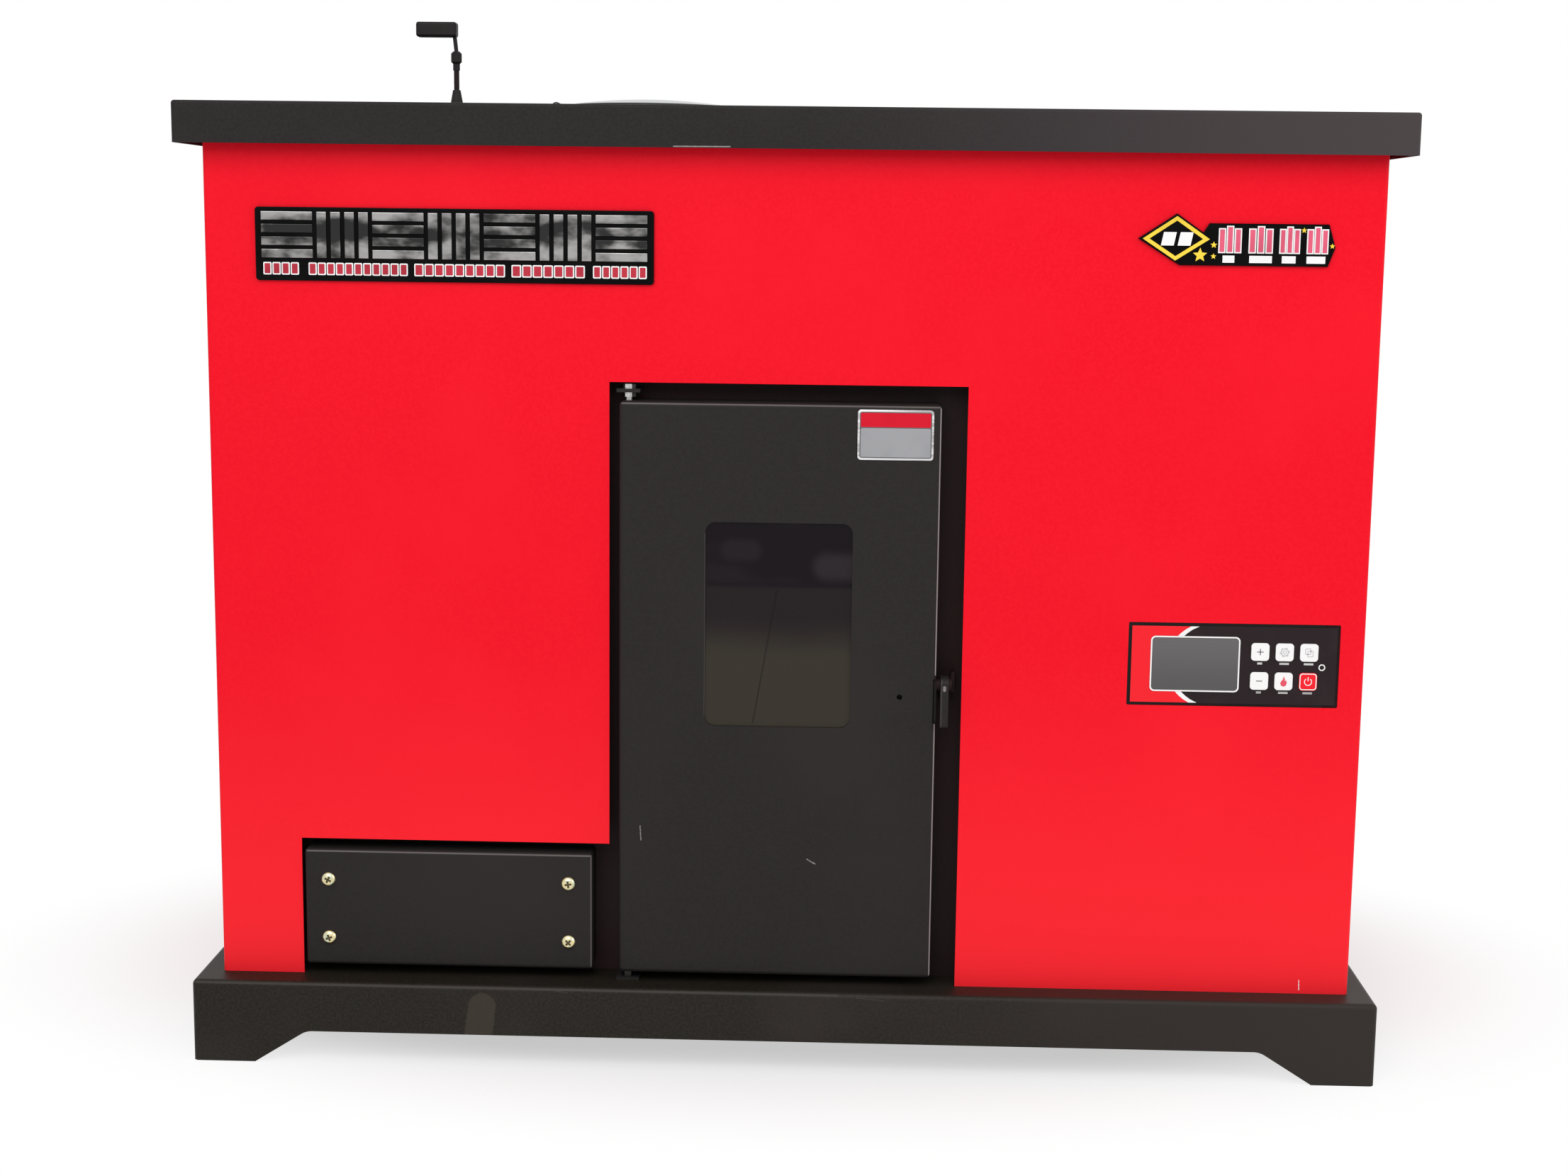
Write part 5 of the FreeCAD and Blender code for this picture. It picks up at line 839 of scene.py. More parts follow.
def add_pan_head(mesh, centre, axis, radius, height, cross, turn):
    """Pan head with a cross recess, standing on its centre along an axis."""
    width, reach, depth = cross
    earlier = set(mesh.verts)
    shares = [ring / HEAD_RINGS for ring in range(HEAD_RINGS + 1)]
    outline = [(share * radius, height * (1 - DOME_SHARE * share ** 4)) for share in shares]
    outline += [(radius, -HEAD_SEAT), (0.0, -HEAD_SEAT)]
    profile = [mesh.verts.new((out, 0.0, rise)) for out, rise in outline]
    edges = [mesh.edges.new(pair) for pair in zip(profile, profile[1:])]
    bmesh.ops.spin(mesh, geom=profile + edges, cent=(0.0, 0.0, 0.0), axis=(0.0, 0.0, 1.0),
                   angle=FULL_TURN, steps=HEAD_STEPS, use_merge=True)
    verts = [vert for vert in mesh.verts if vert not in earlier]
    poles = [vert for vert in verts if vert.co.xy.length < radius / HEAD_RINGS / 2]
    bmesh.ops.remove_doubles(mesh, verts=poles, dist=MERGE_DISTANCE)
    verts = [vert for vert in mesh.verts if vert not in earlier]
    # Faces in the cross recess take the second material, which paints shade into the recess.
    for face in {face for vert in verts for face in vert.link_faces}:
        middle = face.calc_center_median()
        in_cross = middle.z > 0.0 and cross_mask(middle.x, middle.y, width, reach) > CROSS_FACE_SHARE
        face.material_index = int(in_cross)
    for vert in verts:
        if vert.co.z > 0.0:
            vert.co.z -= depth * cross_mask(vert.co.x, vert.co.y, width, reach)
    stand = axis.to_track_quat("Z", "Y").to_matrix() @ Matrix.Rotation(turn, 3, "Z")
    bmesh.ops.transform(mesh, matrix=Matrix.Translation(centre) @ stand.to_4x4(), verts=verts)


COVER_SCREW_RADIUS = 6.2 * MM
COVER_SCREW_TURNS = (0.35, 1.1, 0.8, 0.15)


class BOILER_OT_add_cover_screws(bpy.types.Operator):
    """Adds the access cover's four cross-head screws"""

    bl_idname = "boiler.add_cover_screws"
    bl_label = "Add cover screws"

    def execute(self, context):
        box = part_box("access_cover_screws")
        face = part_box("access_cover")[0].y
        height = face - box[0].y
        setting = sizes()
        cross = (setting.cross_width, setting.cross_reach, setting.cross_depth)
        x_places, z_places = (grown(ends, -COVER_SCREW_RADIUS) for ends in front_spans(box))
        centres = [Vector((x, face, z)) for x in x_places for z in z_places]
        mesh = bmesh.new()
        for centre, turn in zip(centres, COVER_SCREW_TURNS):
            add_pan_head(mesh, centre, FRONT, COVER_SCREW_RADIUS, height, cross, turn)
        make_piece("cover_screws", mesh, ["yellow_zinc", "screw_recess"], "cabinet",
                   ["access_cover_screws"], SHARP_ANGLE)
        return {"FINISHED"}


PANEL_SCREW_INSET = 11.0 * MM
PANEL_SCREW_HEIGHT_SHARE = 0.55
PANEL_CROSS_SHARES = (0.3, 0.55, 0.28)
SIDE_SCREW_RISES = (0.06, 0.36, 0.66)
REAR_SCREW_SHARES = (0.06, 0.30, 0.54, 0.78)
SIDE_TURN_PER_RISE = 9
REAR_TURN_PER_SHARE = 7


class BOILER_OT_add_panel_screws(bpy.types.Operator):
    """Adds small screws along the edges of the side and rear panels"""

    bl_idname = "boiler.add_panel_screws"
    bl_label = "Add panel screws"

    def execute(self, context):
        radius = sizes().panel_screw
        cross = [radius * share for share in PANEL_CROSS_SHARES]
        heads = []
        for node, axis in (("left_side_panel", LEFT), ("right_side_panel", RIGHT)):
            low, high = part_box(node)
            x = low.x if axis.x < 0 else high.x
            for y in grown((low.y, high.y), -PANEL_SCREW_INSET):
                heads += [(Vector((x, y, low.z + rise)), axis, rise * SIDE_TURN_PER_RISE)
                          for rise in SIDE_SCREW_RISES]
        low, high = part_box("rear_panel")
        for x in (low.x + PANEL_SCREW_INSET, 0.0, high.x - PANEL_SCREW_INSET):
            heads += [(Vector((x, high.y, z)), BACK, share * REAR_TURN_PER_SHARE)
                      for share, z in zip(REAR_SCREW_SHARES, between((low.z, high.z), REAR_SCREW_SHARES))]
        mesh = bmesh.new()
        for centre, axis, turn in heads:
            add_pan_head(mesh, centre, axis, radius, radius * PANEL_SCREW_HEIGHT_SHARE, cross, turn)
        make_piece("panel_screws", mesh, ["bright_steel", "screw_recess"], "cabinet",
                   sharp=SHARP_ANGLE)
        return {"FINISHED"}


# Badges and label

BADGE_CORNER = 3.0 * MM
WEAVE_CELLS = 7
WEAVE_MARGIN_SHARE = 0.016
WEAVE_GAP_SHARE = 0.010
WEAVE_HEIGHT_SHARES = (0.31, 0.94)
# Bars of a basket weave's cell: they lie in every other cell and stand in the rest.
WEAVE_BAR_SHARES = ((0.00, 0.19), (0.27, 0.46), (0.54, 0.73), (0.81, 1.00))
WHOLE_SHARES = (0.0, 1.0)
WEAVE_BAR_EDGE = 0.5 * MM
# Blocks in each run of the badge's lower row, and the run's ends as shares of the width.
STRIPE_RUN_SHARES = ((4, 0.020, 0.112), (11, 0.134, 0.386), (9, 0.400, 0.630), (7, 0.644, 0.830),
                     (6, 0.848, 0.985))
STRIPE_HEIGHT_SHARES = (0.08, 0.25)
STRIPE_GAP = 0.8 * MM
STRIPE_RIM = 1.1 * MM
STRIPE_CORNER = 1.0 * MM
STRIPE_CORE_CORNER = 0.5 * MM
STRIPE_CORNER_STEPS = 3
STRIPE_RISE = 0.7 * MM
STRIPE_CORE_RISE = 0.95 * MM


class BOILER_OT_add_left_badge(bpy.types.Operator):
    """Adds the long badge with chromed bars over a row of red blocks"""

    bl_idname = "boiler.add_left_badge"
    bl_label = "Add left badge"

    def execute(self, context):
        setting = sizes()
        low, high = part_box("left_nameplate")
        x_span, z_span = front_spans((low, high))
        mesh = bmesh.new()
        slab(mesh, rounded(mesh, x_span, z_span, high.y, BADGE_CORNER), low.y, 0, setting.badge_edge)
        weave_z, stripe_z = between(z_span, WEAVE_HEIGHT_SHARES), between(z_span, STRIPE_HEIGHT_SHARES)
        self.add_weave(mesh, x_span, weave_z, low.y, low.y - setting.badge_relief)
        self.add_stripe(mesh, x_span, stripe_z, low.y)
        make_piece("left_badge", mesh, ["gloss_black", "chrome", "stripe", "white_plastic"], "cabinet",
                   ["left_nameplate"])
        return {"FINISHED"}

    def add_weave(self, mesh, x_span, z_span, back, front):
        """Cells of bars that lie and stand by turns."""
        width = x_span[1] - x_span[0]
        margin, gap = width * WEAVE_MARGIN_SHARE, width * WEAVE_GAP_SHARE
        cell = (width - margin * 2 - gap * (WEAVE_CELLS - 1)) / WEAVE_CELLS
        for i in range(WEAVE_CELLS):
            left = x_span[0] + margin + i * (cell + gap)
            for bar in WEAVE_BAR_SHARES:
                across, up = (WHOLE_SHARES, bar) if i % 2 == 0 else (bar, WHOLE_SHARES)
                bar_x, bar_z = between((left, left + cell), across), between(z_span, up)
                slab(mesh, rectangle(mesh, bar_x, bar_z, back), front, 1, WEAVE_BAR_EDGE)

    def add_stripe(self, mesh, x_span, z_span, back):
        """Runs of white-rimmed red blocks."""
        for count, *ends in STRIPE_RUN_SHARES:
            start, stop = between(x_span, ends)
            step = (stop - start) / count
            for i in range(count):
                block = (start + step * i, start + step * (i + 1) - STRIPE_GAP)
                rim = rounded(mesh, block, z_span, back, STRIPE_CORNER, STRIPE_CORNER_STEPS)
                slab(mesh, rim, back - STRIPE_RISE, 3)
                core = rounded(mesh, grown(block, -STRIPE_RIM), grown(z_span, -STRIPE_RIM), back,
                               STRIPE_CORE_CORNER, STRIPE_CORNER_STEPS)
                slab(mesh, core, back - STRIPE_CORE_RISE, 2)


# Places on the right badge as (across, up) shares of its box.
PLATE_SHARES = ((0.0, 0.51), (0.187, 0.06), (0.215, 0.0), (0.965, 0.0), (1.0, 0.37), (0.965, 0.82),
                (0.36, 0.82), (0.33, 0.64), (0.194, 1.0))
DIAMOND_SHARES = ((0.022, 0.51), (0.19, 0.09), (0.362, 0.51), (0.194, 0.95))
DIAMOND_INNER_SHARE = 0.80
FIELD_SPAN_SHARES = ((0.115, 0.18), (0.2, 0.265))
FIELD_HEIGHT_SHARES = (0.38, 0.64)
FIELD_LEAN_SHARE = 0.2
BLOCK_SPAN_SHARES = ((0.40, 0.53), (0.552, 0.690), (0.710, 0.825), (0.848, 0.968))
BLOCK_HEIGHT_SHARES = (0.27, 0.75)
# Bars of every block as (left, right) and (bottom, top) shares of it.
BLOCK_BAR_SHARES = (((0.10, 0.28), (0.0, 0.9)), ((0.41, 0.59), (0.0, 1.0)), ((0.72, 0.90), (0.0, 0.9)))
BLOCK_BAR_RIM = 1.1 * MM
TAG_SPAN_SHARES = ((0.43, 0.49), (0.565, 0.68), (0.73, 0.80), (0.855, 0.95))
TAG_HEIGHT_SHARES = (0.06, 0.20)
# Place of each star, and its radius as a share of the badge's width.
STAR_SHARES = ((0.315, 0.20, 0.0375), (0.383, 0.40, 0.0175), (0.383, 0.18, 0.015), (0.837, 0.70, 0.015),
               (0.982, 0.40, 0.014))
STAR_POINTS = 5
STAR_WAIST_SHARE = 0.45
WHITE_RISE = 0.5 * MM
DIAMOND_RISE = 0.6 * MM
BLOCK_BAR_RISE = 0.8 * MM
STAR_RISE = 0.9 * MM


def star(x, z, radius):
    """Outline of a star with one point up."""
    points = []
    for i in range(STAR_POINTS * 2):
        reach = radius if i % 2 == 0 else radius * STAR_WAIST_SHARE
        turn = QUARTER_TURN + math.pi * i / STAR_POINTS
        points.append((x + reach * math.cos(turn), z + reach * math.sin(turn)))
    return points


class BOILER_OT_add_right_badge(bpy.types.Operator):
    """Adds the small badge with a yellow diamond, pink bars and stars"""

    bl_idname = "boiler.add_right_badge"
    bl_label = "Add right badge"

    def execute(self, context):
        low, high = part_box("right_nameplate")
        x_span, z_span = front_spans((low, high))
        mesh = bmesh.new()
        plate = [on_front((low, high), shares) for shares in PLATE_SHARES]
        slab(mesh, flat(mesh, plate, high.y), low.y, 0, sizes().badge_edge)
        diamond = [Vector(on_front((low, high), shares)) for shares in DIAMOND_SHARES]
        centre = sum(diamond, Vector((0.0, 0.0))) / len(diamond)
        inner = [centre + (corner - centre) * DIAMOND_INNER_SHARE for corner in diamond]
        ring_slab(mesh, flat(mesh, diamond, low.y), flat(mesh, inner, low.y), low.y - DIAMOND_RISE, 1)
        for shares in FIELD_SPAN_SHARES:
            field_x, field_z = between(x_span, shares), between(z_span, FIELD_HEIGHT_SHARES)
            slab(mesh, rectangle(mesh, field_x, field_z, low.y, FIELD_LEAN_SHARE), low.y - WHITE_RISE, 2)
        for shares in BLOCK_SPAN_SHARES:
            block_x, block_z = between(x_span, shares), between(z_span, BLOCK_HEIGHT_SHARES)
            for across, up in BLOCK_BAR_SHARES:
                bar_x, bar_z = between(block_x, across), between(block_z, up)
                rim = rectangle(mesh, grown(bar_x, BLOCK_BAR_RIM), grown(bar_z, BLOCK_BAR_RIM), low.y)
                slab(mesh, rim, low.y - WHITE_RISE, 2)
                slab(mesh, rectangle(mesh, bar_x, bar_z, low.y), low.y - BLOCK_BAR_RISE, 3)
        for shares in TAG_SPAN_SHARES:
            tag = rectangle(mesh, between(x_span, shares), between(z_span, TAG_HEIGHT_SHARES), low.y)
            slab(mesh, tag, low.y - WHITE_RISE, 2)
        for *shares, radius_share in STAR_SHARES:
            outline = star(*on_front((low, high), shares), (high.x - low.x) * radius_share)
            slab(mesh, flat(mesh, outline, low.y), low.y - STAR_RISE, 1)
        make_piece("right_badge", mesh, ["gloss_black", "yellow", "white_plastic", "pink"], "cabinet",
                   ["right_nameplate"])
        return {"FINISHED"}


LABEL_CORNER = 3.0 * MM
LABEL_BEVEL = 0.3 * MM
LABEL_GROUND_CORNER = 2.0 * MM
LABEL_GROUND_RISE = 0.05 * MM
LABEL_FIELD_CORNER = 1.4 * MM
LABEL_FIELD_RISE = 0.1 * MM
LABEL_BAND_SHARE = 0.66
LABEL_LINE = 0.8 * MM


class BOILER_OT_add_door_label(bpy.types.Operator):
    """Adds the bare door label: bright rim, red band and grey field"""

    bl_idname = "boiler.add_door_label"
    bl_label = "Add door label"

    def execute(self, context):
        low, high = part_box("door_label_plate")
        x_span, z_span = front_spans((low, high))
        mesh = bmesh.new()
        slab(mesh, rounded(mesh, x_span, z_span, high.y, LABEL_CORNER), low.y, 0, LABEL_BEVEL)
        ground_x, ground_z = (grown(ends, -sizes().label_edge) for ends in (x_span, z_span))
        ground = rounded(mesh, ground_x, ground_z, low.y, LABEL_GROUND_CORNER)
        slab(mesh, ground, low.y - LABEL_GROUND_RISE, 3)
        split, = between(ground_z, [LABEL_BAND_SHARE])
        bottom, top = grown(ground_z, -LABEL_LINE)
        gap_low, gap_high = about(split, LABEL_LINE)
        for field_z, index in (((bottom, gap_low), 2), ((gap_high, top), 1)):
            field = rounded(mesh, grown(ground_x, -LABEL_LINE), field_z, low.y, LABEL_FIELD_CORNER)
            slab(mesh, field, low.y - LABEL_FIELD_RISE, index)
        make_piece("door_label", mesh, ["label_metal", "label_red", "label_grey", "dark_sign"], "door",
                   ["door_label_plate"])
        return {"FINISHED"}


# Controller

BUTTON_ROWS = (
    ("plus_button", "settings_button", "mode_button"),
    ("minus_button", "flame_button", "power_button"),
)
# Circles of the white sweep: centre from the face's middle, and radius.
SWEEP_OUTER = (-20.6 * MM, 37.5 * MM)
SWEEP_INNER = (-17.5 * MM, 35.9 * MM)
SWEEP_STEPS = 24
PRINT_MARGIN = 0.5 * MM
DISPLAY_CORNER = 4.0 * MM
DISPLAY_LINE_CORNER = 3.0 * MM
DISPLAY_LINE_RISE = 0.1 * MM
LAMP_OFFSET = (76.0 * MM, -0.7 * MM)
LAMP_RADIUS = 2.9 * MM
LAMP_BORE_SHARE = 0.68
LAMP_RISE = 0.3 * MM
DASH_DROP = 10.2 * MM
DASH_SIZES = (4.2 * MM, 8.2 * MM, 8.2 * MM)
DASH_THICK = 1.8 * MM


def sweep_arc(middle, circle, z_span):
    """Left arc of one of the sweep's circles between two heights, from bottom to top."""
    offset, radius = circle
    heights = between(z_span, [i / SWEEP_STEPS for i in range(SWEEP_STEPS + 1)])
    return [(middle.x + offset - math.sqrt(radius ** 2 - (z - middle.z) ** 2), z) for z in heights]


class BOILER_OT_add_control_print(bpy.types.Operator):
    """Adds the controller's printed fields, lines and marks"""

    bl_idname = "boiler.add_control_print"
    bl_label = "Add control print"

    def execute(self, context):
        setting = sizes()
        low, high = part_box("control_face")
        middle = (low + high) / 2
        back, front = low.y, low.y - setting.print_sheet
        left, bottom, top = low.x + PRINT_MARGIN, *grown((low.z, high.z), -PRINT_MARGIN)
        outer, inner = (sweep_arc(middle, circle, (bottom, top)) for circle in (SWEEP_OUTER, SWEEP_INNER))
        mesh = bmesh.new()
        slab(mesh, flat(mesh, [(left, bottom), *outer, (left, top)], back), front, 0)
        slab(mesh, flat(mesh, outer + inner[::-1], back), front, 1)
        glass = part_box("display_glass")
        outline = front_spans(glass)
        inset = [grown(ends, -setting.frame_line) for ends in outline]
        ring_slab(mesh, rounded(mesh, *outline, back, DISPLAY_CORNER),
                  rounded(mesh, *inset, back, DISPLAY_LINE_CORNER), glass[0].y - DISPLAY_LINE_RISE, 1)
        lamp = (middle.x + LAMP_OFFSET[0], middle.z + LAMP_OFFSET[1], back)
        ring, bore = (disc(mesh, *lamp, radius) for radius in (LAMP_RADIUS, LAMP_RADIUS * LAMP_BORE_SHARE))
        ring_slab(mesh, ring, bore, back - LAMP_RISE, 1)
        for row in BUTTON_ROWS:
            for name, size in zip(row, DASH_SIZES):
                button_low, button_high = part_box(name)
                button = (button_low + button_high) / 2
                dash_x, dash_z = about(button.x, size), about(button.z - DASH_DROP, DASH_THICK)
                slab(mesh, rectangle(mesh, dash_x, dash_z, back), front, 2)
        make_piece("control_print", mesh, ["red_plastic", "white_plastic", "label_metal"], "cabinet")
        return {"FINISHED"}


# Button signs

SIGN_LINE = 0.7 * MM
PLUS_LENGTH = 5.6 * MM
MINUS_LENGTH = 5.2 * MM
GEAR_TIP = 4.3 * MM
GEAR_ROOT = 3.5 * MM
GEAR_BORE = 2.6 * MM
GEAR_STEPS = 36
TOOTH_STEPS = 3
HUB_RADIUS = 1.7 * MM
HUB_BORE = 1.0 * MM
HUB_STEPS = 24
PAGE_WIDTH = 5.2 * MM
PAGE_HEIGHT = 5.6 * MM
PAGE_SHIFT = 1.0 * MM
PAGE_CORNER = 1.0 * MM
PAGE_INNER_CORNER = 0.5 * MM
# Half sizes of the flame, and its outline as shares of them.
FLAME_REACH = (3.6 * MM, 4.6 * MM)
FLAME_SHARES = ((0.0, -1.0), (0.55, -0.8), (0.8, -0.3), (0.62, 0.25), (0.3, 0.05), (0.28, 0.55), (-0.05, 1.0),
                (-0.12, 0.45), (-0.5, 0.1), (-0.8, -0.35), (-0.55, -0.8))
POWER_RADII = (2.7 * MM, 3.4 * MM)
POWER_GAP = math.radians(36)
POWER_STEPS = 28
POWER_BAR = (0.6 * MM, 4.1 * MM)
POWER_FRAME = 14.6 * MM
POWER_FRAME_LINE = 0.8 * MM
POWER_FRAME_CORNER = 2.6 * MM
POWER_FRAME_INNER_CORNER = 2.0 * MM


def plus_sign(mesh, x, z, back, front):
    for width, height in ((PLUS_LENGTH, SIGN_LINE), (SIGN_LINE, PLUS_LENGTH)):
        slab(mesh, rectangle(mesh, about(x, width), about(z, height), back), front)


def minus_sign(mesh, x, z, back, front):
    slab(mesh, rectangle(mesh, about(x, MINUS_LENGTH), about(z, SIGN_LINE), back), front)


def gear_sign(mesh, x, z, back, front):
    teeth = []
    for i in range(GEAR_STEPS):
        reach = GEAR_TIP if i // TOOTH_STEPS % 2 == 0 else GEAR_ROOT
        turn = FULL_TURN * i / GEAR_STEPS
        teeth.append((x + reach * math.cos(turn), z + reach * math.sin(turn)))
    ring_slab(mesh, flat(mesh, teeth, back), disc(mesh, x, z, back, GEAR_BORE, GEAR_STEPS), front)
    hub, bore = (disc(mesh, x, z, back, radius, HUB_STEPS) for radius in (HUB_RADIUS, HUB_BORE))
    ring_slab(mesh, hub, bore, front)


def pages_sign(mesh, x, z, back, front):
    for shift in (-PAGE_SHIFT, PAGE_SHIFT):
        outline = about(x + shift, PAGE_WIDTH), about(z - shift, PAGE_HEIGHT)
        inset = [grown(ends, -SIGN_LINE) for ends in outline]
        ring_slab(mesh, rounded(mesh, *outline, back, PAGE_CORNER),
                  rounded(mesh, *inset, back, PAGE_INNER_CORNER), front)


def flame_sign(mesh, x, z, back, front):
    outline = [(x + u * FLAME_REACH[0], z + v * FLAME_REACH[1]) for u, v in FLAME_SHARES]
    slab(mesh, flat(mesh, outline, back), front)


def power_sign(mesh, x, z, back, front):
    start = QUARTER_TURN + POWER_GAP
    ends = [mesh.verts.new((x + radius * math.cos(start), back, z + radius * math.sin(start)))
            for radius in POWER_RADII]
    bmesh.ops.spin(mesh, geom=ends + [mesh.edges.new(ends)], cent=(x, back, z), axis=FRONT,
                   angle=FULL_TURN - POWER_GAP * 2, steps=POWER_STEPS)
    raise_faces(mesh, list(mesh.faces), front, 0)
    slab(mesh, rectangle(mesh, about(x, SIGN_LINE), [z + rise for rise in POWER_BAR], back), front)
    outline = about(x, POWER_FRAME), about(z, POWER_FRAME)
    inset = [grown(ends, -POWER_FRAME_LINE) for ends in outline]
    ring_slab(mesh, rounded(mesh, *outline, back, POWER_FRAME_CORNER),
              rounded(mesh, *inset, back, POWER_FRAME_INNER_CORNER), front)


SIGNS = {
    "plus_button": (plus_sign, "dark_sign"),
    "settings_button": (gear_sign, "grey_sign"),
    "mode_button": (pages_sign, "grey_sign"),
    "minus_button": (minus_sign, "dark_sign"),
    "flame_button": (flame_sign, "flame_sign"),
    "power_button": (power_sign, "white_plastic"),
}


class BOILER_OT_add_button_signs(bpy.types.Operator):
    """Adds a thin sign to each of the six buttons"""

    bl_idname = "boiler.add_button_signs"
    bl_label = "Add button signs"

    def execute(self, context):
        for name, (draw, material) in SIGNS.items():
            low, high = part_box(name)
            mesh = bmesh.new()
            draw(mesh, (low.x + high.x) / 2, (low.z + high.z) / 2, low.y, low.y - sizes().sign_sheet)
            make_piece(name.replace("button", "sign"), mesh, [material], name)
        return {"FINISHED"}


# Stage

FLOOR_DROP = 0.2 * MM
# The floor's glow grows with the distance from the boiler, which counts less along X.
FLOOR_STRETCH = (0.6, 1.0, 0.0)
FLOOR_FADE = (0.30, 0.52)
FLOOR_GLOW_SHARE = 0.55
KEY_PLACE = (-0.5, -2.6, 2.3)
KEY_TARGET = (0.0, -0.3, 0.45)
KEY_SIZE = 2.2
SIDE_PLACE = (2.4, -1.6, 1.5)
SIDE_TARGET = (0.2, -0.2, 0.45)
SIDE_SIZE = 1.2
SENSOR_WIDTH = 36.0


def blend_for_seen_rays(nodes, links, other, seen, share=None):
    """Mixes two shaders: the second shows to the camera, in metal and through glass."""
    path = nodes.new("ShaderNodeLightPath")
    amount = path.outputs["Is Camera Ray"]
    steps = [("MAXIMUM", path.outputs["Is Glossy Ray"]), ("MAXIMUM", path.outputs["Is Transmission Ray"])]
    if share is not None:
        steps.append(("MULTIPLY", share))
    for operation, value in steps:
        node = nodes.new("ShaderNodeMath")
        node.operation = operation
        links.new(amount, node.inputs[0])
        links.new(value, node.inputs[1])
        amount = node.outputs[0]
    blend = nodes.new("ShaderNodeMixShader")
    for socket, source in zip(blend.inputs, (amount, other.outputs[0], seen.outputs[0])):
        links.new(source, socket)
    return blend.outputs[0]


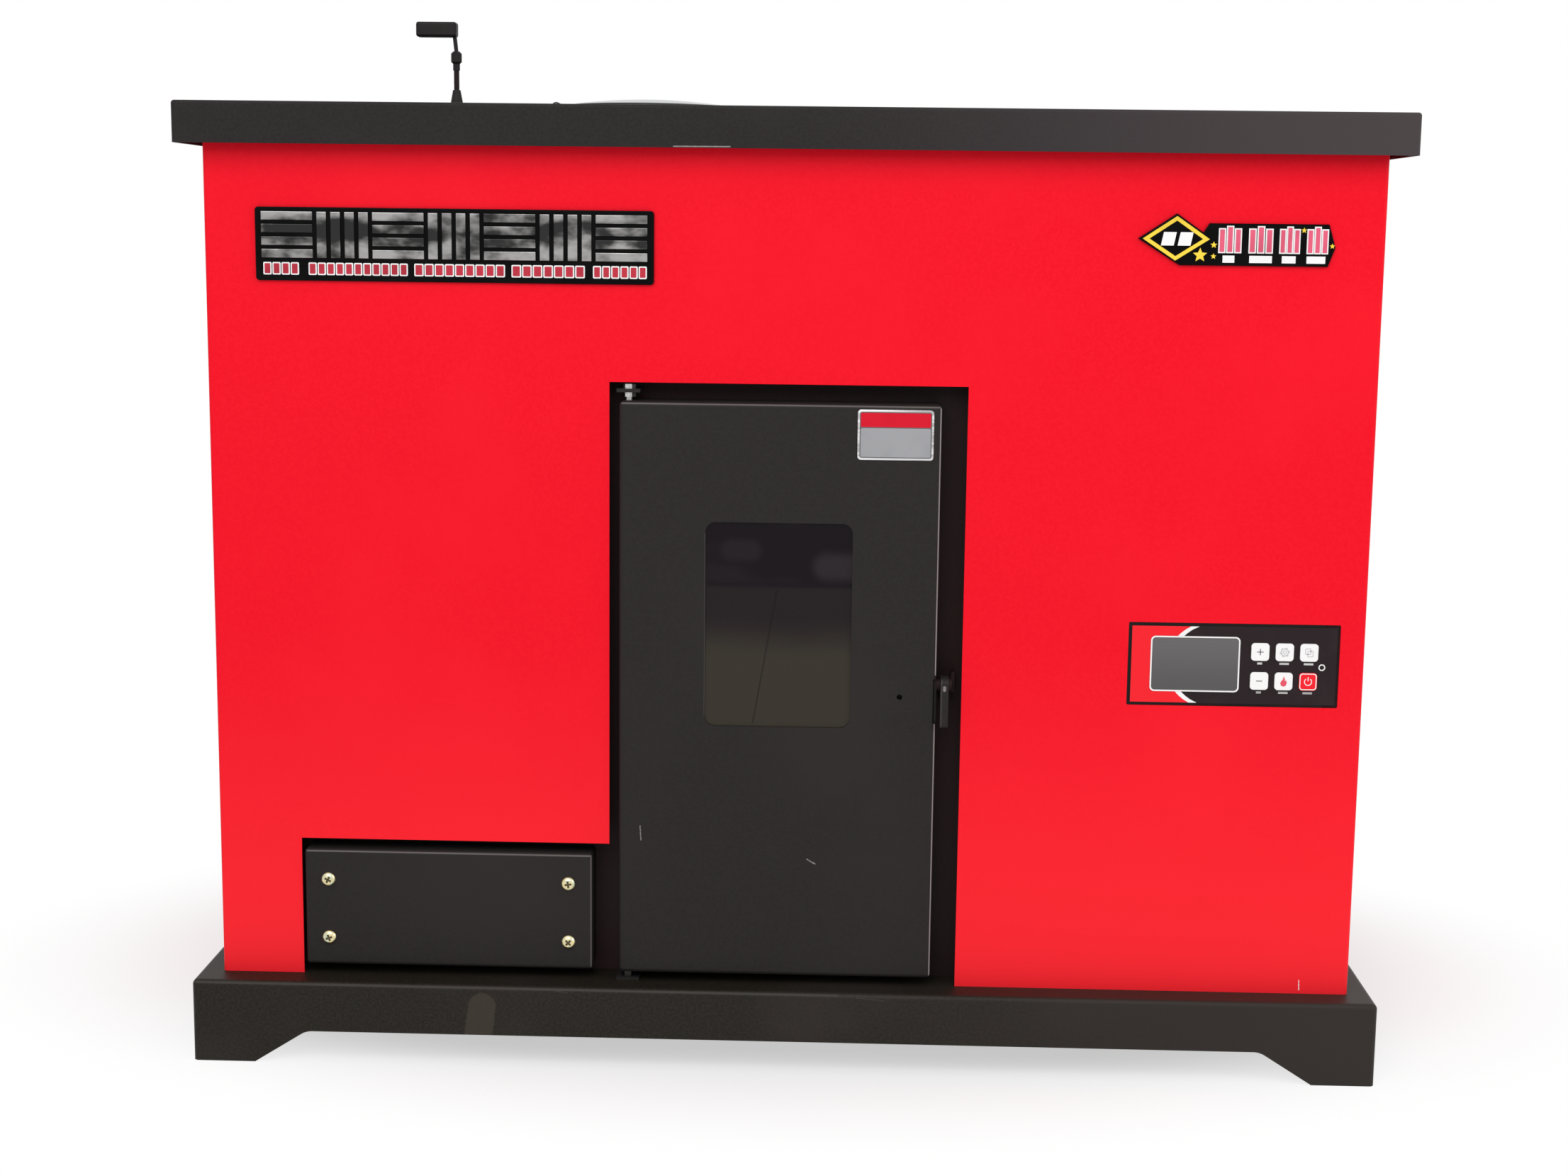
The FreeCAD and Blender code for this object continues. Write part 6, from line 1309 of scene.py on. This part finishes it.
class BOILER_OT_set_stage(bpy.types.Operator):
    """Adds the floor, the light and the camera"""

    bl_idname = "boiler.set_stage"
    bl_label = "Set stage"

    def execute(self, context):
        scene = context.scene
        setting = scene.boiler_stage
        self.add_floor(scene)
        self.set_world(scene)
        self.add_light(scene, "key_light", KEY_PLACE, KEY_TARGET, KEY_SIZE, setting.key_light)
        self.add_light(scene, "side_light", SIDE_PLACE, SIDE_TARGET, SIDE_SIZE, setting.side_light)
        self.add_camera(scene)
        scene.view_settings.view_transform = "Standard"
        return {"FINISHED"}

    def add_floor(self, scene):
        mesh = bmesh.new()
        bmesh.ops.create_grid(mesh, x_segments=1, y_segments=1, size=scene.boiler_stage.floor_size / 2)
        data = bpy.data.meshes.new("floor")
        mesh.to_mesh(data)
        mesh.free()
        floor = bpy.data.objects.new("floor", data)
        scene.collection.objects.link(floor)
        floor.location.z = -FLOOR_DROP
        data.materials.append(self.floor_material())

    def floor_material(self):
        """Pale floor that fades into the white backdrop away from the boiler."""
        shader = Shader(base_color=colours().floor, roughness=0.9, specular_ior_level=0.0)
        shader.material.name = FINISH_PREFIX + "floor"
        distance = shader.vector("LENGTH", shader.vector("MULTIPLY", shader.place, FLOOR_STRETCH))
        fade = shader.ramp(distance, *FLOOR_FADE, start=FLOOR_GLOW_SHARE)
        glow = shader.nodes.new("ShaderNodeEmission")
        glow.inputs["Color"].default_value = PLAIN_WHITE
        blend = blend_for_seen_rays(shader.nodes, shader.links, shader.surface, glow, fade)
        shader.links.new(blend, shader.nodes["Material Output"].inputs["Surface"])
        return shader.material

    def set_world(self, scene):
        """Even light, with a plain white backdrop where it shows."""
        scene.world = bpy.data.worlds.new("studio")
        scene.world.use_nodes = True
        nodes, links = scene.world.node_tree.nodes, scene.world.node_tree.links
        even, plain = nodes["Background"], nodes.new("ShaderNodeBackground")
        for background, strength in ((even, scene.boiler_stage.world_light), (plain, 1.0)):
            background.inputs["Color"].default_value = PLAIN_WHITE
            background.inputs["Strength"].default_value = strength
        blend = blend_for_seen_rays(nodes, links, even, plain)
        links.new(blend, nodes["World Output"].inputs["Surface"])

    def add_light(self, scene, name, light_place, target, size, watts):
        data = bpy.data.lights.new(name, "AREA")
        data.shape = "SQUARE"
        data.size = size
        data.energy = watts
        light = bpy.data.objects.new(name, data)
        scene.collection.objects.link(light)
        light.location = light_place
        light.rotation_euler = (Vector(target) - Vector(light_place)).to_track_quat("-Z", "Y").to_euler()

    def add_camera(self, scene):
        setting = scene.boiler_stage
        data = bpy.data.cameras.new("camera")
        data.sensor_fit = "HORIZONTAL"
        data.sensor_width = SENSOR_WIDTH
        data.lens = setting.lens
        camera = bpy.data.objects.new("camera", data)
        scene.collection.objects.link(camera)
        yaw, pitch, roll = setting.camera_yaw, setting.camera_pitch, setting.camera_roll
        ahead = Vector((math.sin(yaw) * math.cos(pitch), math.cos(yaw) * math.cos(pitch), math.sin(pitch)))
        level = Vector((math.cos(yaw), -math.sin(yaw), 0.0))
        upward = level.cross(ahead)
        right = level * math.cos(roll) + upward * math.sin(roll)
        up = upward * math.cos(roll) - level * math.sin(roll)
        turn = Matrix((right, up, -ahead)).transposed().to_4x4()
        stand = Vector((setting.camera_x, setting.camera_y, setting.camera_z))
        camera.matrix_world = Matrix.Translation(stand) @ turn
        scene.camera = camera


# Add-on

OPERATORS = (
    BOILER_OT_paint_frame,
    BOILER_OT_add_cover_screws,
    BOILER_OT_add_panel_screws,
    BOILER_OT_add_left_badge,
    BOILER_OT_add_right_badge,
    BOILER_OT_add_door_label,
    BOILER_OT_add_control_print,
    BOILER_OT_add_button_signs,
    BOILER_OT_set_stage,
)


class BOILER_PT_sidebar(bpy.types.Panel):
    """Lists the boiler's pieces and settings"""

    bl_idname = "BOILER_PT_sidebar"
    bl_label = "Boiler"
    bl_space_type = "VIEW_3D"
    bl_region_type = "UI"
    bl_category = "Boiler"

    def draw(self, context):
        layout = self.layout
        for operator in OPERATORS:
            layout.operator(operator.bl_idname)
        for group in (context.scene.boiler_sizes, context.scene.boiler_colours, context.scene.boiler_stage):
            box = layout.box()
            for key in group.__annotations__:
                box.prop(group, key)


CLASSES = (BoilerSizes, BoilerColours, BoilerStage) + OPERATORS + (BOILER_PT_sidebar,)


def register():
    for item in CLASSES:
        bpy.utils.register_class(item)
    bpy.types.Scene.boiler_sizes = PointerProperty(type=BoilerSizes)
    bpy.types.Scene.boiler_colours = PointerProperty(type=BoilerColours)
    bpy.types.Scene.boiler_stage = PointerProperty(type=BoilerStage)


def unregister():
    del bpy.types.Scene.boiler_stage
    del bpy.types.Scene.boiler_colours
    del bpy.types.Scene.boiler_sizes
    for item in reversed(CLASSES):
        bpy.utils.unregister_class(item)


def main():
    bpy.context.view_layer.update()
    register()
    bpy.ops.boiler.paint_frame()
    bpy.ops.boiler.add_cover_screws()
    bpy.ops.boiler.add_panel_screws()
    bpy.ops.boiler.add_left_badge()
    bpy.ops.boiler.add_right_badge()
    bpy.ops.boiler.add_door_label()
    bpy.ops.boiler.add_control_print()
    bpy.ops.boiler.add_button_signs()
    bpy.ops.boiler.set_stage()


if __name__ == "__main__":
    main()
